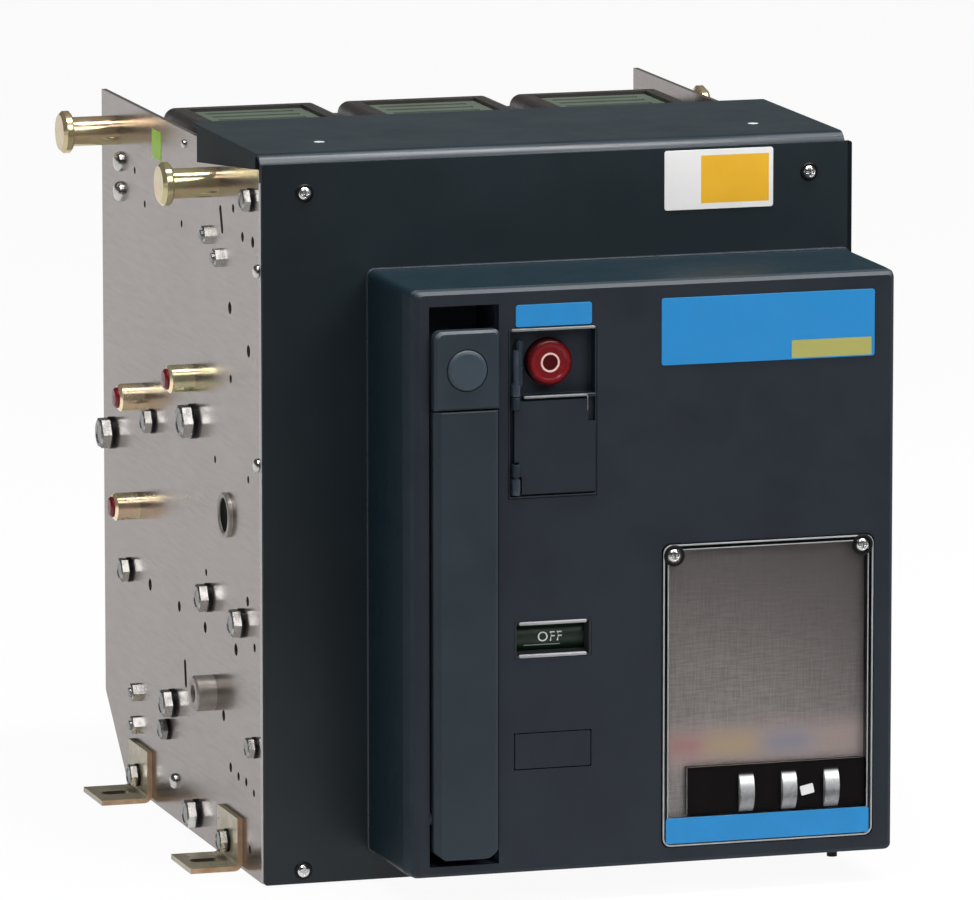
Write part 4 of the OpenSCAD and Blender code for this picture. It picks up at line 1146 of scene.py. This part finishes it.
class BREAKER_OT_stage(bpy.types.Operator):
    """Adds the floor, the lights, the world and the camera"""

    bl_idname = "breaker.stage"
    bl_label = "Stage"

    def execute(self, context):
        """A pale floor, three soft lamps and a long lens at the photograph's angle."""
        stage = context.scene.breaker_stage
        self.add_floor(context)
        self.add_world(context, stage.ambient)
        for name, (place, aim, size) in LAMPS.items():
            self.add_lamp(context, name, place, aim, size, getattr(stage, f"{name}_power"))
        self.add_camera(context, stage)
        context.scene.view_settings.view_transform = "Standard"
        return {"FINISHED"}

    def add_floor(self, context):
        """A wide floor, white to the camera, that still takes the shadow.

        In reflections it is white beside and behind the object and dim in front, as a dark card there
        makes it.
        """
        corners = np.array([[-1, -1, 0], [1, -1, 0], [1, 1, 0], [-1, 1, 0]]) * FLOOR_HALF
        mesh = bpy.data.meshes.new("floor")
        mesh.from_pydata(corners.tolist(), [], [[0, 1, 2, 3]])
        made = Finish("floor_white", (0.82, 0.82, 0.82), 0.9, specular=0.1)
        camera, mirror = made.rays()
        strength = made.mix(camera, made.along("Y", 0.05, 1.0, -0.9, -0.45), 1.0)
        bright = made.node("ShaderNodeEmission", {"Strength": strength}).outputs[0]
        share = made.maths("MULTIPLY", made.maths("MAXIMUM", camera, mirror), 0.94)
        inputs = {"Fac": share, 1: made.shader.outputs[0], 2: bright}
        mixed = made.node("ShaderNodeMixShader", inputs).outputs[0]
        made.join(made.tree.nodes["Material Output"].inputs["Surface"], mixed)
        mesh.materials.append(made.material)
        floor = bpy.data.objects.new("floor", mesh)
        context.collection.objects.link(floor)

    def add_world(self, context, ambient):
        """White to the camera, with a low even light on matt surfaces.

        In reflections it is white near the horizon, and dim overhead and in front of the object.
        """
        world = bpy.data.worlds.new("studio")
        world.use_nodes = True
        made = Nodes(world.node_tree, "Generated")
        camera, mirror = made.rays()
        front = made.along("Y", 0.06, 1.0, -0.7, -0.3)
        room = made.maths("MULTIPLY", front, made.along("Z", 1.0, 0.07, 0.0, 0.1))
        background = made.tree.nodes["Background"].inputs
        made.join(background["Strength"], made.mix(camera, made.mix(mirror, ambient, room), 1.0))
        made.join(background["Color"], (1, 1, 1, 1))
        context.scene.world = world

    def add_lamp(self, context, name, place, aim, size, power):
        """A rectangular soft lamp turned to its aim."""
        lamp = bpy.data.lights.new(name, "AREA")
        lamp.shape = "RECTANGLE"
        lamp.size, lamp.size_y = size
        lamp.energy = power
        made = bpy.data.objects.new(name, lamp)
        made.location = place
        made.rotation_euler = self.turn_to(np.asarray(place), np.asarray(aim))
        context.collection.objects.link(made)

    def turn_to(self, place, aim):
        """Euler angles that point an object's -Z from its place to its aim, with Y upwards."""
        x, y, z = place - aim
        return (math.atan2(math.hypot(x, y), z), 0.0, math.atan2(x, -y))

    def add_camera(self, context, stage):
        """A camera at a bearing and height angle from the aim, which the photograph gives."""
        level = math.cos(stage.elevation)
        back = np.array([math.sin(stage.azimuth) * level, -math.cos(stage.azimuth) * level,
                         math.sin(stage.elevation)])
        lens = bpy.data.cameras.new("photograph")
        lens.lens = stage.lens
        lens.sensor_width = SENSOR_WIDTH
        lens.sensor_fit = "HORIZONTAL"
        lens.shift_x = (PICTURE_WIDTH / 2 - AXIS_POINT[0]) / PICTURE_WIDTH
        lens.shift_y = (AXIS_POINT[1] - PICTURE_HEIGHT / 2) / PICTURE_WIDTH
        lens.clip_end = 100.0
        camera = bpy.data.objects.new("photograph", lens)
        camera.location = CAMERA_AIM + stage.distance * back
        camera.rotation_euler = self.turn_to(np.array(camera.location), CAMERA_AIM)
        context.collection.objects.link(camera)
        context.scene.camera = camera


class BREAKER_PT_sidebar(bpy.types.Panel):
    """Lists the breaker's settings and steps"""

    bl_idname = "BREAKER_PT_sidebar"
    bl_label = "Breaker"
    bl_space_type = "VIEW_3D"
    bl_region_type = "UI"
    bl_category = "Breaker"

    def draw(self, context):
        """One row for each setting, then one button for each step."""
        for name in SETTINGS:
            group = getattr(context.scene, name)
            for setting in group.__annotations__:
                self.layout.prop(group, setting)
        for step in STEPS:
            self.layout.operator(step.bl_idname)


SETTINGS = {
    "breaker_colours": BreakerColours,
    "breaker_fasteners": BreakerFasteners,
    "breaker_plates": BreakerPlates,
    "breaker_stage": BreakerStage,
}
STEPS = (
    BREAKER_OT_stage,
    BREAKER_OT_finish_frame,
    BREAKER_OT_finish_shroud,
    BREAKER_OT_finish_facia,
    BREAKER_OT_facia_details,
    BREAKER_OT_finish_handle,
    BREAKER_OT_trip_button,
    BREAKER_OT_indicator,
    BREAKER_OT_release,
    BREAKER_OT_finish_poles,
    BREAKER_OT_side_fasteners,
    BREAKER_OT_bush_shade_discs,
    BREAKER_OT_shroud_fasteners,
    BREAKER_OT_plates,
    BREAKER_OT_rear_screws,
)


def register():
    """Registers the settings, the steps and the sidebar panel."""
    for name, group in SETTINGS.items():
        bpy.utils.register_class(group)
        setattr(bpy.types.Scene, name, PointerProperty(type=group))
    for step in STEPS:
        bpy.utils.register_class(step)
    bpy.utils.register_class(BREAKER_PT_sidebar)


def unregister():
    """Takes the panel, the steps and the settings away again."""
    bpy.utils.unregister_class(BREAKER_PT_sidebar)
    for step in reversed(STEPS):
        bpy.utils.unregister_class(step)
    for name, group in reversed(SETTINGS.items()):
        delattr(bpy.types.Scene, name)
        bpy.utils.unregister_class(group)


def main():
    """Runs every step in order."""
    register()
    bpy.ops.breaker.stage()
    bpy.ops.breaker.finish_frame()
    bpy.ops.breaker.finish_shroud()
    bpy.ops.breaker.finish_facia()
    bpy.ops.breaker.facia_details()
    bpy.ops.breaker.finish_handle()
    bpy.ops.breaker.trip_button()
    bpy.ops.breaker.indicator()
    bpy.ops.breaker.release()
    bpy.ops.breaker.finish_poles()
    bpy.ops.breaker.side_fasteners()
    bpy.ops.breaker.bush_plugs()
    bpy.ops.breaker.shroud_fasteners()
    bpy.ops.breaker.plates()
    bpy.ops.breaker.rear_screws()
    bpy.context.view_layer.update()


if __name__ == "__main__":
    main()
